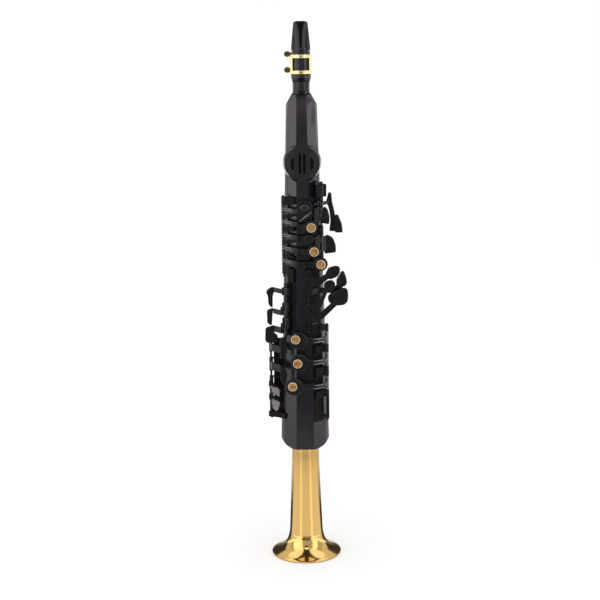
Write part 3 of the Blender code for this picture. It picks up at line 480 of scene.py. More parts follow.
def housing():
    """The two shells, and inside them a tongue behind each seam."""
    from_cad("front_shell", "body", 0.5)
    from_cad("rear_shell", "body", 0.5)
    tongues = []
    for side in (-1, 1):
        rings = []
        for z in (SEAM_LOW, SEAM_HIGH):
            face = half_width(z) - WALL
            section = rectangle(side * (face - 1.4), side * (face - 0.05), SEAM_Y - 2.5, SEAM_Y + 2.5)
            rings.append([(x, y, z) for x, y in section])
        tongues.append(loft(rings))
    piece("seam_tongues", tongues, "matte", body="instrument")


def on_front(z):
    """From a flat frame, with Y into the housing, to a place on its sloping front strip."""
    slope = math.atan((half_depth(z - 50) - half_depth(z + 50)) / 100)
    return Matrix.Translation((0, -half_depth(z), z)) @ Matrix.Rotation(-slope, 4, "X")


def moon(side, margin=0.0):
    """The outline of one half-moon panel, less a margin."""
    outline = [(x, h) for x, h in circle(0, 0, MOON_RADIUS - margin, ROUND_SIDES)
               if side * x > MOON_EDGE + margin]
    return sorted(outline, key=lambda point: point[1])


def sound_hole(side):
    outline = [(side * (HOLE_X + HOLE_WIDTH * math.cos(a)), HOLE_REACH * math.sin(a)) for a in
               [math.radians(step) for step in range(-90, 91, 10)]]
    return prism(outline, -5, 6, "Y")


def sound_slot(side):
    x = side * SLOT_X
    return prism(rectangle(x - SLOT_HALF, x + SLOT_HALF, -SLOT_REACH, SLOT_REACH), -5, 6, "Y")


def speaker():
    place = on_front(SPEAKER_Z)
    lie = Matrix.Rotation(math.radians(-90), 4, "X")
    grille_radius, flare, bore = MOON_RADIUS + 0.5, 7.0, SPEAKER_RADIUS - 2.4
    wall = [(MOON_RADIUS, 1.0), (grille_radius + 0.15, 1.0), (SPEAKER_RADIUS - 0.2, flare - 0.4),
            (SPEAKER_RADIUS, flare), (SPEAKER_RADIUS, SPEAKER_DEPTH), (bore, SPEAKER_DEPTH),
            (bore, GRILLE_THICKNESS)]
    wall = moved(turned(wall, ROUND_SIDES, closed=True), lie)
    # The drum's light grey finish is painted light on its sides.
    piece("speaker_drum", [moved(wall, place)], "drum", body="instrument")
    cuts = []
    for side in (-1, 1):
        cuts += [prism(moon(side), -5, 0.9, "Y"), sound_hole(side), sound_slot(side)]
    grille = cut_from(prism(circle(0, 0, grille_radius, ROUND_SIDES), 0, GRILLE_THICKNESS, "Y"), cuts)
    strip = cut_from(prism(rectangle(-7.7, 7.7, -27.4, 27.4), 0.02, 1.0, "Y"),
                     [sound_slot(side) for side in (-1, 1)])
    piece("speaker_grille_fine", [moved(grille, place)], "body", ["speaker_grille"])
    piece("speaker_strip", [moved(strip, place)], "body", body="instrument")
    cloth = prism(circle(0, 0, SPEAKER_RADIUS - 2.8, 64), 3.3, 3.9, "Y")
    piece("speaker_cloth", [moved(cloth, place)], "matte", body="instrument")
    panels = [moved(cut_from(prism(moon(side, 0.25), 0.5, 0.88, "Y"), [sound_hole(side)]), place)
              for side in (-1, 1)]
    piece("speaker_moons", panels, "grille", body="instrument")


# ------------ bell, neck and mouthpiece


def bell():
    outside = smooth_path(BELL_PROFILE, 8)
    inside = [(r - BELL_WALL, z - (1.2 if z < 12 else 0)) for r, z in reversed(outside) if z > 3.2]
    profile = outside + inside + [(44.5, 0.5), (47.0, 0.2)]
    rim = oval(48.1, 0.95, 0.9, 0.95, 16)
    shells = [turned(section, ROUND_SIDES, closed=True) for section in (profile, rim)]
    piece("bell_fine", shells, "gold", ["bell"])
    collar = [(18.95, 159.6), (19.6, 159.6), (19.9, 160.0), (19.9, 161.2), (18.95, 161.2)]
    piece("bell_collar", [turned(collar, 96, closed=True)], "gold", body="instrument")


def leaning():
    """From an upright axis with its foot at 0 to the leaning axis of the neck and mouthpiece."""
    return Matrix.Translation((0, 0, BODY_TOP)) @ Matrix.Rotation(math.radians(-LEAN_DEG), 4, "X")


def mouthpiece_ring(s, half, front, rear):
    """A section at height s: half its width, and the depths of its front and its rear."""
    section = oval(0, (front + rear) / 2, half, (rear - front) / 2, 64)
    return [(x, y, s) for x, y in section]


def mouthpiece():
    lean = leaning()
    sections = (
        (SHANK_START, 11.8), (SHANK_START + 0.8, 12.4), (SHANK_FULL - 0.6, SHANK_RADIUS - 0.3),
        (SHANK_FULL, SHANK_RADIUS), (SHANK_END - 0.3, SHANK_RADIUS), (SHANK_END, SHANK_RADIUS - 0.3),
        (SHANK_END + 0.3, BEAK_RADIUS), (BEAK_START - 4.0, BEAK_RADIUS), (BEAK_START - 3.6, 12.2),
        (BEAK_START - 2.2, 12.2),
    )
    rings = [mouthpiece_ring(s, radius, -radius, radius) for s, radius in sections]
    rings.append(mouthpiece_ring(BEAK_START - 1.8, 12.9, -12.9, BEAK_RADIUS))
    rings.append(mouthpiece_ring(BEAK_START, BEAK_RADIUS, -BEAK_RADIUS, BEAK_RADIUS))
    steps = 14
    for i in range(1, steps):
        share = 0.94 * i / (steps - 1)
        s = BEAK_START + share * (TIP - BEAK_START)
        half = BEAK_RADIUS - 3.6 * share ** 1.15
        front = -BEAK_RADIUS + (TABLE_Y + 10.8) * share ** 1.08
        rings.append(mouthpiece_ring(s, half, front, TABLE_Y + 4.5 * (1 - share)))
    for down, half, front in ((1.5, 8.8, 2.8), (0.9, 8.1, 2.5), (0.45, 7.2, 2.3), (0.15, 6.0, 2.0),
                              (0.0, 4.6, 1.7)):
        rings.append(mouthpiece_ring(TIP - down, half, TABLE_Y - front, TABLE_Y + 0.2 * down))
    chamber = [(-6.0, 46), (6.5, 46), (6.5, 60), (14, 60), (14, 90), (7.6, 90), (-6.0, 64)]
    shell = cut_from(moved(loft(rings), lean), [
        moved(box(-20, 20, TABLE_Y, 20, SHANK_END + 0.3, 120), lean),
        moved(prism(circle(0, 0, 7.6), 10, 50), lean),
        moved(prism(chamber, -5.5, 5.5, "X"), lean),
    ])
    piece("mouthpiece_fine", [shell], "rubber", ["mouthpiece"])

    heel, tip = 30.0, TIP - 0.9
    back = [(REED_HALF_WIDTH * math.cos(a), TABLE_Y + GAP + 1.0 + 1.9 * math.sin(a))
            for a in [math.radians(step) for step in range(0, 181, 10)]]
    flat = [(-REED_HALF_WIDTH, TABLE_Y + GAP), (REED_HALF_WIDTH, TABLE_Y + GAP)]
    vamp = [(TABLE_Y + 3.6, 58), (TABLE_Y + 1.0, tip + 1), (TABLE_Y + 9, tip + 1), (TABLE_Y + 9, 58)]
    reed = cut_from(moved(prism(back + flat, heel, tip), lean), [moved(prism(vamp, -12, 12, "X"), lean)])
    piece("reed_fine", [reed], "cane", ["reed"])


def ligature():
    lean = leaning()
    bands = ((LIGATURE_LOW + WINDOW_LOW) / 2, (LIGATURE_HIGH + WINDOW_HIGH) / 2)
    screws = [s + SCREW_RISE for s in bands]
    sleeve = [(LIGATURE_INNER, LIGATURE_LOW + 0.2), (LIGATURE_OUTER - 0.3, LIGATURE_LOW),
              (LIGATURE_OUTER, LIGATURE_LOW + 0.4), (LIGATURE_OUTER, LIGATURE_HIGH - 0.4),
              (LIGATURE_OUTER - 0.3, LIGATURE_HIGH), (LIGATURE_INNER, LIGATURE_HIGH - 0.2)]
    cuts = [
        moved(rounded(box(-11.4, 11.4, -20, 0, WINDOW_LOW, WINDOW_HIGH), 0.8, 3), lean),
        moved(box(-9, 9, 0, 25, REAR_WINDOW_LOW, WINDOW_HIGH), lean),
        moved(box(-0.9, 0.9, 5, 25, 20, 60), lean),
        *(moved(prism(circle(0, s, 1.3, 24), -20, 0, "Y"), lean) for s in bands),
    ]
    shells = [cut_from(moved(turned(sleeve, 96, closed=True), lean), cuts)]
    for s in screws:
        for side in (-1, 1):
            x = side * 3.2
            ear = rounded(box(x - 2.3, x + 2.3, LIGATURE_OUTER - 0.9, 20.0, s - 2.6, s + 2.6), 0.6, 3)
            hole = prism(circle(SCREW_Y, s, 1.6, 24), -9, 9, "X")
            shells.append(moved(cut_from(ear, [hole]), lean))
    # The ligature's pale gold paints in highlights on its bands.
    piece("ligature_fine", shells, "lacquer", ["ligature"])
    for name, s in zip(("ligature_screw_lower", "ligature_screw_upper"), screws):
        wing = oval(-18.2, s, 4.7, 3.9, 48)
        screw = [
            moved(prism(circle(SCREW_Y, s, 1.15, 24), -14.0, 7.5, "X"), lean),
            moved(rounded(prism(circle(SCREW_Y, s, 2.2, 24), -14.5, -6.2, "X"), 0.4), lean),
            moved(rounded(prism(wing, SCREW_Y - 1.2, SCREW_Y + 1.2, "Y"), 0.8, 4), lean),
        ]
        piece(name + "_fine", screw, "brass", [name])


def neck():
    lean = leaning()
    foot = BODY_TOP + GAP
    upright = [(NECK_BORE, foot), (RECEIVER_RADIUS - 0.6, foot), (RECEIVER_RADIUS, foot + 0.6),
               (RECEIVER_RADIUS, BODY_TOP + 6.0), (NECK_BORE, BODY_TOP + 8.0)]
    socket = [(NECK_BORE, 4.0), (RECEIVER_RADIUS, 4.0), (RECEIVER_RADIUS, RECEIVER_TOP - 0.8),
              (RECEIVER_RADIUS - 0.8, RECEIVER_TOP), (NECK_BORE, RECEIVER_TOP)]
    tube = [(NECK_BORE, RECEIVER_TOP - 1), (NECK_RADIUS, RECEIVER_TOP - 1), (NECK_RADIUS, 46.0),
            (NECK_BORE, 46.0)]
    tenon = [(NECK_BORE, 641.0), (NECK_RADIUS, 641.0), (NECK_RADIUS, BODY_TOP + 1), (NECK_BORE, BODY_TOP + 1)]
    piece("neck_receiver_fine", [
        turned(upright, 64, closed=True), moved(turned(socket, 64, closed=True), lean),
        moved(turned(tube, 40, closed=True), lean), turned(tenon, 40, closed=True),
    ], "receiver", ["neck_receiver"])
    seal = [(11.0, 16.2), (11.9, 16.2), (12.1, 16.6), (12.1, 17.3), (11.8, 17.6), (11.0, 17.6)]
    piece("neck_seal", [moved(turned(seal, 64, closed=True), lean)], "matte",
          body="instrument")


# ------------ keys


def rod_with_posts(name, place, low, high, posts, extra=()):
    """A hinge rod, its posts, each with its heights and the place of its foot, and blocks beside it."""
    x, y = place
    ends = [(0.01, low), (ROD_RADIUS, low), (ROD_RADIUS, high), (0.01, high)]
    shells = [moved(turned(ends, 24), Matrix.Translation((x, y, 0)))]
    for z0, z1, foot in posts:
        post = [(0.01, z0), (2.2, z0), (2.7, z0 + 0.5), (2.7, z1 - 0.5), (2.2, z1), (0.01, z1)]
        shells.append(moved(turned(post, 28), Matrix.Translation((x, y, 0))))
        shells.append(bar([(x, y), foot], 3.6, z0, z1, 0.35))
    piece(name + "_fine", shells, "rod", [name])
    if extra:
        piece(name + "_blocks", extra, "matte", body=BODY_OF[name])


def rails(name, shells):
    """Raised edges on a lever's arm, which move with it, in a light grey that paints in highlight lines."""
    piece(name + "_rails", shells, "rail", body=BODY_OF[name])


def key(name, place, z0, z1, shapes, barrel_look="barrel"):
    """A lever: the barrel that turns on its rod, and the shapes that it carries."""
    x, y = place
    outer, end, waist = BARREL_RADIUS, BARREL_RADIUS - 0.35, BARREL_RADIUS - 0.25
    profile = [(BARREL_BORE, z0), (end, z0), (outer, z0 + 0.35), (outer, z0 + 1.2), (waist, z0 + 1.35),
               (waist, z1 - 1.35), (outer, z1 - 1.2), (outer, z1 - 0.35), (end, z1), (BARREL_BORE, z1)]
    barrel = moved(turned(profile, 32, closed=True), Matrix.Translation((x, y, 0)))
    piece(name + "_barrel", [barrel], barrel_look, body=BODY_OF[name])
    piece(name + "_fine", shapes, "key", [name])


def pearl(name, x, z, y_seat):
    """A dished bronze button in a rounded ring whose pale colour is a painted highlight."""
    lie = Matrix.Translation((x, y_seat - GAP, z)) @ Matrix.Rotation(math.radians(90), 4, "X")
    top, edge = PEARL_HEIGHT, PEARL_RADIUS
    dish = [(0.0, 0.2), (edge - 0.85, 0.2), (edge - 0.85, top - 0.35), (edge - 2.2, top - 0.55),
            (edge - 4.0, top - 0.75), (0.0, top - 0.85)]
    highlight_bezel = [(edge - 0.9, 0.0), (edge - 0.1, 0.0), (edge, 0.6), (edge, top - 0.8), (edge - 0.15, top - 0.3),
             (edge - 0.45, top), (edge - 0.75, top - 0.1), (edge - 0.9, top - 0.4)]
    body = BODY_OF[name]
    piece(name + "_fine", [moved(turned(dish, 48), lie)], "bronze", [name])
    piece(name + "_bezel", [moved(turned(highlight_bezel, 64, closed=True), lie)], "rim", body=body)


def mounting_shade_strip(side, z0, z1, start=None):
    """A thin matte black strip along a sloping facet, on which posts stand, and which darkens the facet as
    painted shade; start is how far onto the front it begins.
    """
    rings = []
    for z in (z0, z1):
        over, under = [], []
        if start is not None:
            over.append((side * start, -half_depth(z) - 1.0))
            under.append((side * start, -half_depth(z) - 0.35))
        over += [facet_point(z, side, 0.04, 1.0), facet_point(z, side, 0.9, 1.0)]
        under += [facet_point(z, side, 0.04, 0.35), facet_point(z, side, 0.9, 0.35)]
        rings.append([(x, y, z) for x, y in over + under[::-1]])
    return rounded(loft(rings), 0.3)


def left_arm(z0, z1):
    """An arm from the left rod, over the facet, to the front."""
    z = (z0 + z1) / 2
    path = from_barrel([LEFT_ROD, facet_point(z, -1, 0.78, 5.6), facet_point(z, -1, 0.08, 6.4),
                        (-7.0, -half_depth(z) - 6.6)])
    return bar(path, 2.6, z0, z1)


def left_rails(z0, z1):
    """Two raised ridges along a left arm, in light grey as painted highlight lines."""
    z = (z0 + z1) / 2
    rib = [(LEFT_ROD[0] - 2.3, LEFT_ROD[1] - 2.4), (LEFT_ROD[0] + 0.6, LEFT_ROD[1] - 3.5),
           facet_point(z, -1, 0.76, 7.1), facet_point(z, -1, 0.10, 7.9)]
    return [bar(rib, 1.3, low, low + 0.9, 0.2) for low in (z1 - 3.8, z1 - 1.1)]


def left_hand_keys():
    heights = ((508.2, 520.5), (490.6, 495.4), (471.8, 478.4), (454.2, 459.4), (436.2, 441.4), (412, 422.8))
    posts = [(z0, z1, facet_point(z0, -1, 0.62, 0)) for z0, z1 in heights]
    blocks = [bar([facet_point(z0, -1, 0.70, 2.4), facet_point(z0, -1, 0.10, 2.4)], 3.4, z0, z1, 0.35)
              for z0, z1 in ((510.6, 520.5), (494.0, 497.6), (473.0, 480.0), (457.7, 461.2), (441.0, 443.2),
                             (434.6, 439.0), (422.5, 424.6), (400.8, 420.7))]
    rod_with_posts("left_rod", LEFT_ROD, 408, 522, posts, blocks)

    def front_y(z):
        return -half_depth(z) - 9.2

    y = front_y(500) + 1.0
    front_f = [(-8, 499), (-4, 492), (0, 487.8), (5, 490.6), (13, 494), (13, 512), (8, 517), (-3, 517),
               (-8, 511)]
    # Two diagonal ribs in the light grey rail finish: a painted highlight across the touch.
    highlight_ribs = [plate([(-5 + d, 489.5 + d), (-3.6 + d, 488.6 + d), (8.5 + d, 497.0 + d), (7.8 + d, 498.4 + d)],
                  y - 0.9, 1.4, 0.3) for d in (0.0, 3.6)]
    dome = rounded(prism(oval(2.5, 507.5, 6.4, 4.6, 40), y - 1.6, y + 0.6, "Y"), 1.5, 5,
                   lambda edge: all(v.co.y < y - 1.0 for v in edge.verts))
    key("front_f_key", LEFT_ROD, 496.4, 507.2,
        [left_arm(498.5, 505.5), pad(front_f, y, 2.6, 0.8)])
    rails("front_f_key", [*left_rails(498.5, 505.5), *highlight_ribs])
    piece("front_f_dome", [dome], "barrel", body=BODY_OF["front_f_key"])

    # Each: name, the barrel's heights, the plate's heights, the cup's x, z and radius.
    stack = (
        ("b_key", 479.4, 489.6, (471.0, 484.6), 11.0, 480.4, 9.0),
        ("bis_key", 460.4, 470.8, (454.6, 468.2), 8.0, 463.6, 6.8),
        ("a_key", 442.4, 453.2, (435.4, 450.4), 14.6, 446.8, 9.0),
        ("g_key", 423.8, 435.2, (422.6, 432.4), 23.8, 429.0, 9.6),
    )
    for name, z0, z1, (low, high), x, z, radius in stack:
        y = front_y(z)
        shapes = [left_arm(z0 + 1.5, z1 - 1.5)]
        rails(name, left_rails(z0 + 1.5, z1 - 1.5))
        shapes.append(cup(x, z, radius, y, 3.0))
        shapes.append(plate(rectangle(-8.2, 2.0, low, high), y + 1.0, 2.6))
        neck_low, neck_high = max(low, z - 4.2), min(high, z + 4.2)
        shapes.append(plate(rectangle(0.5, x, neck_low, neck_high), y + 0.6, 2.4))
        key(name, LEFT_ROD, z0, z1, shapes)
        if name != "bis_key":
            pearl(name.replace("key", "pearl"), x + 0.4, z, y)


def cup(x, z, radius, y, thickness):
    """A round plate with a raised, rounded rim in front."""
    profile = [(0.0, 0.0), (radius - 0.6, 0.0), (radius, 0.6), (radius, thickness - 1.1),
               (radius - 0.3, thickness - 0.4), (radius - 0.9, thickness), (radius - 1.5, thickness),
               (radius - 2.0, thickness - 0.35), (0.0, thickness - 0.35)]
    lie = Matrix.Translation((x, y + thickness, z)) @ Matrix.Rotation(math.radians(90), 4, "X")
    return moved(turned(profile, 64), lie)


def table_keys():
    x, y = TABLE_ROD
    posts = [(z0, z1, (x, -half_depth(z0))) for z0, z1 in ((412.4, 421), (374.2, 384), (334, 349.4))]
    heads = [rounded(box(x - 3.4, x + 4.6, y - 2.6, y + 1.0, z0, z1), 0.8) for z0, z1, _ in posts]
    rod_with_posts("table_rod", TABLE_ROD, 332, 421.6, posts, [*heads, mounting_shade_strip(1, 343, 421.6, 3.0)])
    front, depth = y - 1.5, 3.0
    start = x + 2.4

    def saddle(z0, z1):
        return plate(rectangle(x - 3.4, x + 5.6, z0, z1), y - 3.0, 0.95, 0.4)

    g_sharp_touch = [(29.8, 414.6), (33.8, 423.2), (41.0, 426), (47.6, 426), (50.4, 422.6), (49.4, 416.4),
                     (46.2, 411.2), (37, 407.4), (30.8, 409.4)]
    key("g_sharp_key", TABLE_ROD, 396.2, 411.4, [
        saddle(396.2, 411.4),
        plate([(start, 398.4), (24, 400.0), (37, 410.5), (33, 416.5), (23, 410.2), (start, 410.2)], front,
              depth),
        pad(g_sharp_touch, front - 1.2, 4.2),
    ])
    c_sharp_touch = [(44.8, 405.8), (51.4, 416.8), (55.4, 417.2), (58.2, 411), (59.8, 402.4), (57.0, 397.6),
                     (47.4, 396.8), (44.8, 400.6)]
    lowered = -23.5
    key("low_c_sharp_key", TABLE_ROD, 385.2, 395.2, [
        saddle(385.2, 395.2),
        bar(from_barrel([TABLE_ROD, (15, -27.4), (22, lowered), (47, lowered)]), 2.6, 386.4, 394.0),
        plate([(42, 386.4), (49, 386.4), (57, 400), (50, 404), (42, 394)], lowered - 1.3, 2.6),
        pad(c_sharp_touch, front - 1.0, lowered - front + 2.3),
    ])
    low_b_touch = [(27.8, 402.4), (34, 406.0), (40, 406.0), (43.4, 401.6), (43.4, 395.0), (38.4, 390.4),
                   (30.8, 390.2), (27.8, 394.6)]
    key("low_b_key", TABLE_ROD, 362.8, 373.2, [
        saddle(362.8, 373.2),
        plate([(start, 363.8), (18.5, 363.8), (24.0, 368), (33.4, 391), (29.4, 394), (19.4, 372.4),
               (start, 372.4)], front, depth),
        pad(low_b_touch, front - 1.2, 4.2),
    ])
    low_b_flat_touch = [(32.8, 382.0), (35.2, 386.4), (43.4, 391.2), (56.0, 395.6), (60.4, 392.6),
                        (61.3, 384.2), (60.2, 375.6), (55.2, 371.0), (43.8, 370.0), (34.4, 375.0)]
    key("low_b_flat_key", TABLE_ROD, 350.4, 361.2, [
        saddle(350.4, 361.2),
        plate([(start, 351.2), (26, 351.2), (46.5, 371.6), (40.0, 376), (23, 360.4), (start, 360.4)], front,
              depth),
        pad(low_b_flat_touch, front - 1.2, 4.2),
    ])


def palm_tail(z0, z1):
    """The short arm of a palm key, over the facet beside its rod."""
    z = (z0 + z1) / 2
    path = from_barrel([PALM_ROD, facet_point(z, 1, 0.72, 5.0), facet_point(z, 1, 0.34, 3.0)])
    return bar(path, 2.4, z0, z1)


def palm_keys():
    heights = ((513.4, 540), (505.2, 507.4), (466.4, 480.0), (430, 442.4))
    posts = [(z0, z1, facet_point(z0, 1, 0.8, 0)) for z0, z1 in heights]
    bracket = [bar([(19.0, -22.5), PALM_ROD, (31.5, -12.5)], 5.0, 520, 537)]
    blocks = [bar([facet_point(z0, 1, 0.8, 2.0), facet_point(z0, 1, 0.12, 2.0)], 3.2, z0, z1)
              for z0, z1 in heights[2:]]
    rod_with_posts("palm_rod", PALM_ROD, 428, 541, posts, [*bracket, *blocks, mounting_shade_strip(1, 428, 541)])

    lever = [(32.5, 512.5), (35.5, 524), (39.4, 523), (40.4, 511), (43.2, 499), (45.6, 486), (45.4, 469.4),
             (36.0, 469.4), (38.0, 484), (36.8, 497), (34.4, 506.4), (32.5, 507.8)]
    paddle = [(43.6, 490.5), (48.6, 491.4), (53.4, 480), (54.8, 468.4), (43.6, 468.4)]
    key("palm_d_key", PALM_ROD, 507.9, 512.9, [
        bar(from_barrel([PALM_ROD, (31, -11.5), (35.5, -6.5)]), 3.2, 508.2, 512.6),
        palm_tail(508.4, 512.4),
        pad(lever, -8.2, 3.6, 1.2),
        pad(paddle, -12.5, 13.5),
    ])
    e_flat = [(24.6, 484.0), (36.0, 481.5), (36.8, 492.5), (34.2, 502.6), (29.8, 507.2), (25.6, 499.8)]
    key("palm_e_flat_key", PALM_ROD, 487.0, 504.8, [
        bar(from_barrel([PALM_ROD, (30.5, -16.5)]), 3.6, 488, 499),
        palm_tail(484.0, 504.2),
        pad(e_flat, -19.5, 3.4),
    ])
    f_paddle = [(29.0, 439.4), (45.2, 441.0), (44.8, 452.0), (41.0, 461.6), (34.0, 465.6), (29.0, 464.4)]
    key("palm_f_key", PALM_ROD, 443.0, 465.8, [
        bar(from_barrel([PALM_ROD, (31, -13.0)]), 3.6, 444, 464),
        palm_tail(443.6, 465.2),
        pad(f_paddle, -14.5, 4.0),
    ])


def side_keys():
    x, y = SIDE_ROD
    posts = [(z0, z1, facet_point(z0, -1, 0.72, 0))
             for z0, z1 in ((394.6, 399), (373.0, 382.8), (351.6, 359.8), (326, 335.4))]
    rod_with_posts("side_rod", SIDE_ROD, 324.5, 400, posts, [mounting_shade_strip(-1, 324.5, 400)])
    # Each: name, the barrel's heights, the arm's heights, the outline of the touch.
    keys = (
        ("side_e_key", 383.6, 394.0, (385.4, 391.8),
         [(-52.2, 386.0), (-49.4, 380.0), (-49.0, 369.0), (-45.8, 364.2), (-43.0, 363.4), (-42.6, 380.0),
          (-40.4, 386.0), (-41.0, 392.0), (-46.0, 391.0)]),
        ("side_c_key", 360.6, 372.4, (354.4, 361.4),
         [(-51.2, 358.8), (-50.8, 341.6), (-47.4, 338.4), (-44.4, 338.0), (-43.2, 354.0), (-41.8, 361.2),
          (-45.0, 361.2)]),
        ("side_b_flat_key", 336.0, 350.8, (328.4, 337.0),
         [(-53.4, 333.4), (-54.2, 316.4), (-51.4, 312.6), (-36.4, 312.6), (-36.4, 322.6), (-41.8, 326.4),
          (-41.4, 337.0), (-44.4, 336.4)]),
    )
    for name, z0, z1, (low, high), touch in keys:
        reach = bar([(-28.6, -20.0), (-34.0, -17.4), (-41.5, -9.6)], 2.8, low, high)
        front_block = bar([(x + 4.4, y - 0.2), (x + 2.2, y)], 6.2, z0, z1)
        rear_block = bar([(x - 2.3, y + 0.4), (x - 5.2, y + 0.8)], 6.2, z0, z1)
        riser = bar([(-29.4, -20.6), (-30.4, -18.8)], 5.0, low, (z0 + z1) / 2)
        key(name, SIDE_ROD, z0, z1, [front_block, rear_block, riser, reach, pad(touch, -12.0, 5.5, 1.6)])


def little_finger_keys():
    y = PINKY_ROD[1]
    heights = ((312.6, 316), (296.8, 298.4), (286.8, 288.4), (269.0, 270.6), (260.0, 261.6), (237.4, 242.8),
               (202, 221.4))
    posts = [(z0, z1, (-half_width(z0), y)) for z0, z1 in heights]
    frame_arms = [bar([(-50.5, -3.0), (-36.0, -8.5), facet_point(206, -1, 0.9, 1.2)], 3.0, 203.0, 211.0),
                  bar([PINKY_ROD, (-49.0, -3.5)], 4.0, 203.0, 211.0)]
    guards = [box(-43.0, -28.0, 2.2, 4.4, low, high)
              for low, high in ((204, 261.0), (269.5, 288.0), (297.2, 315.0))]
    guards.append(box(-42.6, -28.0, 2.25, 4.35, 214, 312.0))
    rod_with_posts("pinky_rod", PINKY_ROD, 200, 317, posts, frame_arms + guards)

    f_sharp = [(-33.8, 322.6), (-29.6, 323.8), (-24.8, 320), (-23.6, 304), (-27.4, 292.8),
               (-33.8, 292.4)]
    key("high_f_sharp_key", PINKY_ROD, 299.2, 311.8, [
        bar(from_barrel([PINKY_ROD, (-44.6, -9), (-33.0, -21.2)]), 3.0, 300.4, 310.6),
        pad(f_sharp, -24.4, 3.6),
    ])
    trill = [(-33.0, 284.0), (-29.4, 283.0), (-23.4, 271.6), (-27.0, 257.8), (-31.2, 257.8), (-33.4, 262.4)]
    key("f_trill_key", PINKY_ROD, 271.4, 286.0, [
        bar(from_barrel([PINKY_ROD, (-44.6, -9), (-32.6, -22.4)]), 3.0, 273.0, 284.0),
        pad(trill, -25.6, 3.6),
    ])
    e_flat = [(-50.0, 257.6), (-47.0, 257.6), (-35.8, 248.8), (-34.4, 245), (-34.4, 232.6), (-46.6, 240.8),
              (-46.6, 247.0), (-50.0, 250.0)]
    key("low_e_flat_key", PINKY_ROD, 243.6, 259.2, [
        bar(from_barrel([PINKY_ROD, (-48.0, -11.4)]), 3.4, 249.0, 257.2),
        plate(e_flat, -14.0, 3.6),
    ])
    low_c = [(-50.0, 239.2), (-47.4, 238.8), (-34.4, 229.4), (-34.4, 223.6), (-36.8, 215.2), (-40.4, 212.8),
             (-45.4, 218), (-46.6, 229), (-50.0, 231)]
    key("low_c_key", PINKY_ROD, 222.2, 236.6, [
        bar(from_barrel([PINKY_ROD, (-48.0, -11.4)]), 3.4, 230.6, 236.0),
        plate(low_c, -14.0, 3.6),
    ])
    # Insets on the low E flat and C touches, in pinkish grey: painted sheen in place of the light on touches
    # that face up.
    sheen_insets = (
        ("low_e_flat_sheen_inset", "low_e_flat_key",
         [(-48.8, 251.6), (-37.0, 247.6), (-35.2, 244.6), (-35.2, 234.4), (-46.0, 241.8), (-46.2, 248.0)]),
        ("low_c_sheen_inset", "low_c_key",
         [(-46.0, 232.4), (-35.2, 227.2), (-35.2, 223.6), (-37.3, 215.8), (-40.4, 213.7), (-44.9, 218.6),
          (-46.0, 228.0)]),
    )
    for name, owner, outline in sheen_insets:
        piece(name, [pad(outline, -14.4, 0.9, 0.4, 0.1)], "sheen_inset", body=BODY_OF[owner])


def right_hand_keys():
    heights = ((330.8, 340), (300.6, 312.0), (266.0, 280.2), (236, 246.2), (203, 209))
    posts = [(z0, z1, facet_point(z0, 1, 0.9, 0)) for z0, z1 in heights]
    blocks = []
    for z0, z1 in heights[1:4]:
        outer, inner = facet_point(z0, 1, 0.86, 3.2), facet_point(z0, 1, 0.12, 3.2)
        blocks.append(bar([outer, inner], 4.6, z0, z1))
    guard = rounded(box(29.6, 34.0, -19.6, -14.4, 206, 240), 0.8)
    rod_with_posts("right_rod", RIGHT_ROD, 201, 341.5, posts, [*blocks, guard, mounting_shade_strip(1, 201, 341.5)])
    # Each: name, the barrel's heights, the cup's x and z, the button's x and z.
    stack = (
        ("f_key", 313.0, 329.8, -7.6, 321.6, -11.8, 324.2),
        ("e_key", 281.2, 299.6, -7.0, 290.6, -9.4, 289.8),
        ("d_key", 247.2, 265.0, -14.2, 255.6, -16.8, 257.0),
    )
    for name, z0, z1, cup_x, cup_z, pearl_x, pearl_z in stack:
        y_cup = -half_depth(cup_z) - 11.6
        path = from_barrel([RIGHT_ROD, (27.6, y_cup + 9.5), (18.0, y_cup + 3.2), (cup_x + 6, y_cup + 2.2)])
        rib = [(26.8, y_cup + 7.4), (17.8, y_cup + 1.6), (13.0, y_cup + 1.0)]
        # The barrels take the silver sleeve finish, a painted highlight on black barrels.
        key(name, RIGHT_ROD, z0, z1, [
            bar(path, 2.8, cup_z - 3.0, cup_z + 3.0),
            plate(rectangle(cup_x + 4, 12.4, cup_z - 4.8, cup_z + 4.8), y_cup + 0.6, 3.4),
            cup(cup_x, cup_z, 12.4, y_cup, 4.0),
        ], "sleeve")
        # Two raised ribs in light grey: painted highlight lines along the arm.
        rails(name, [bar(rib, 1.4, cup_z + low, cup_z + low + 1.2, 0.3) for low in (-2.8, 1.6)])
        pearl(name.replace("key", "pearl"), pearl_x, pearl_z, y_cup)


# ------------ the rest of the CAD nodes


def carried_over():
    """The nodes that keep the CAD's shape: those in view get rounded edges, those inside only a material."""
    edges = (
        ("thumb_rest", "key", "key_black", 0.4), ("octave_key", "key", "key_black", 0.4),
        ("thumb_controller", "touch", "key_black", 0.5), ("thumb_hook", "rod", "rod_black", 0.5),
        ("strap_ring", "brass", "dark_brass", 0.4), ("display_window", "glass", "display_black", 0.25),
        ("power_button", "touch", "key_black", 0.3), ("menu_button", "touch", "key_black", 0.3),
        ("jack_panel", "grille", "grille_black", 0.25), ("battery_cover", "body", "body_black", 0.3),
    )
    for name, look, slot, width in edges:
        from_cad(name, look, width)
    plain = {
        "bell_cap": "grille", "neck_cork": "cork", "speaker_driver": "driver", "circuit_board": "board",
        "battery_pack": "cells", "breath_sensor": "cells",
    }
    for name, look in plain.items():
        data = frame["nodes"][name].data
        data.materials.clear()
        data.materials.append(MATERIALS[look])


# ------------ stage


# Lengths on the stage are in metres, and angles in degrees.
CAMERA_ELEVATION, CAMERA_DISTANCE, CAMERA_LENS = 15.0, 3.0, 129.93
AIM = Vector((-0.0051, 0.0, 0.3705))
ROLL_DEG = 0.716


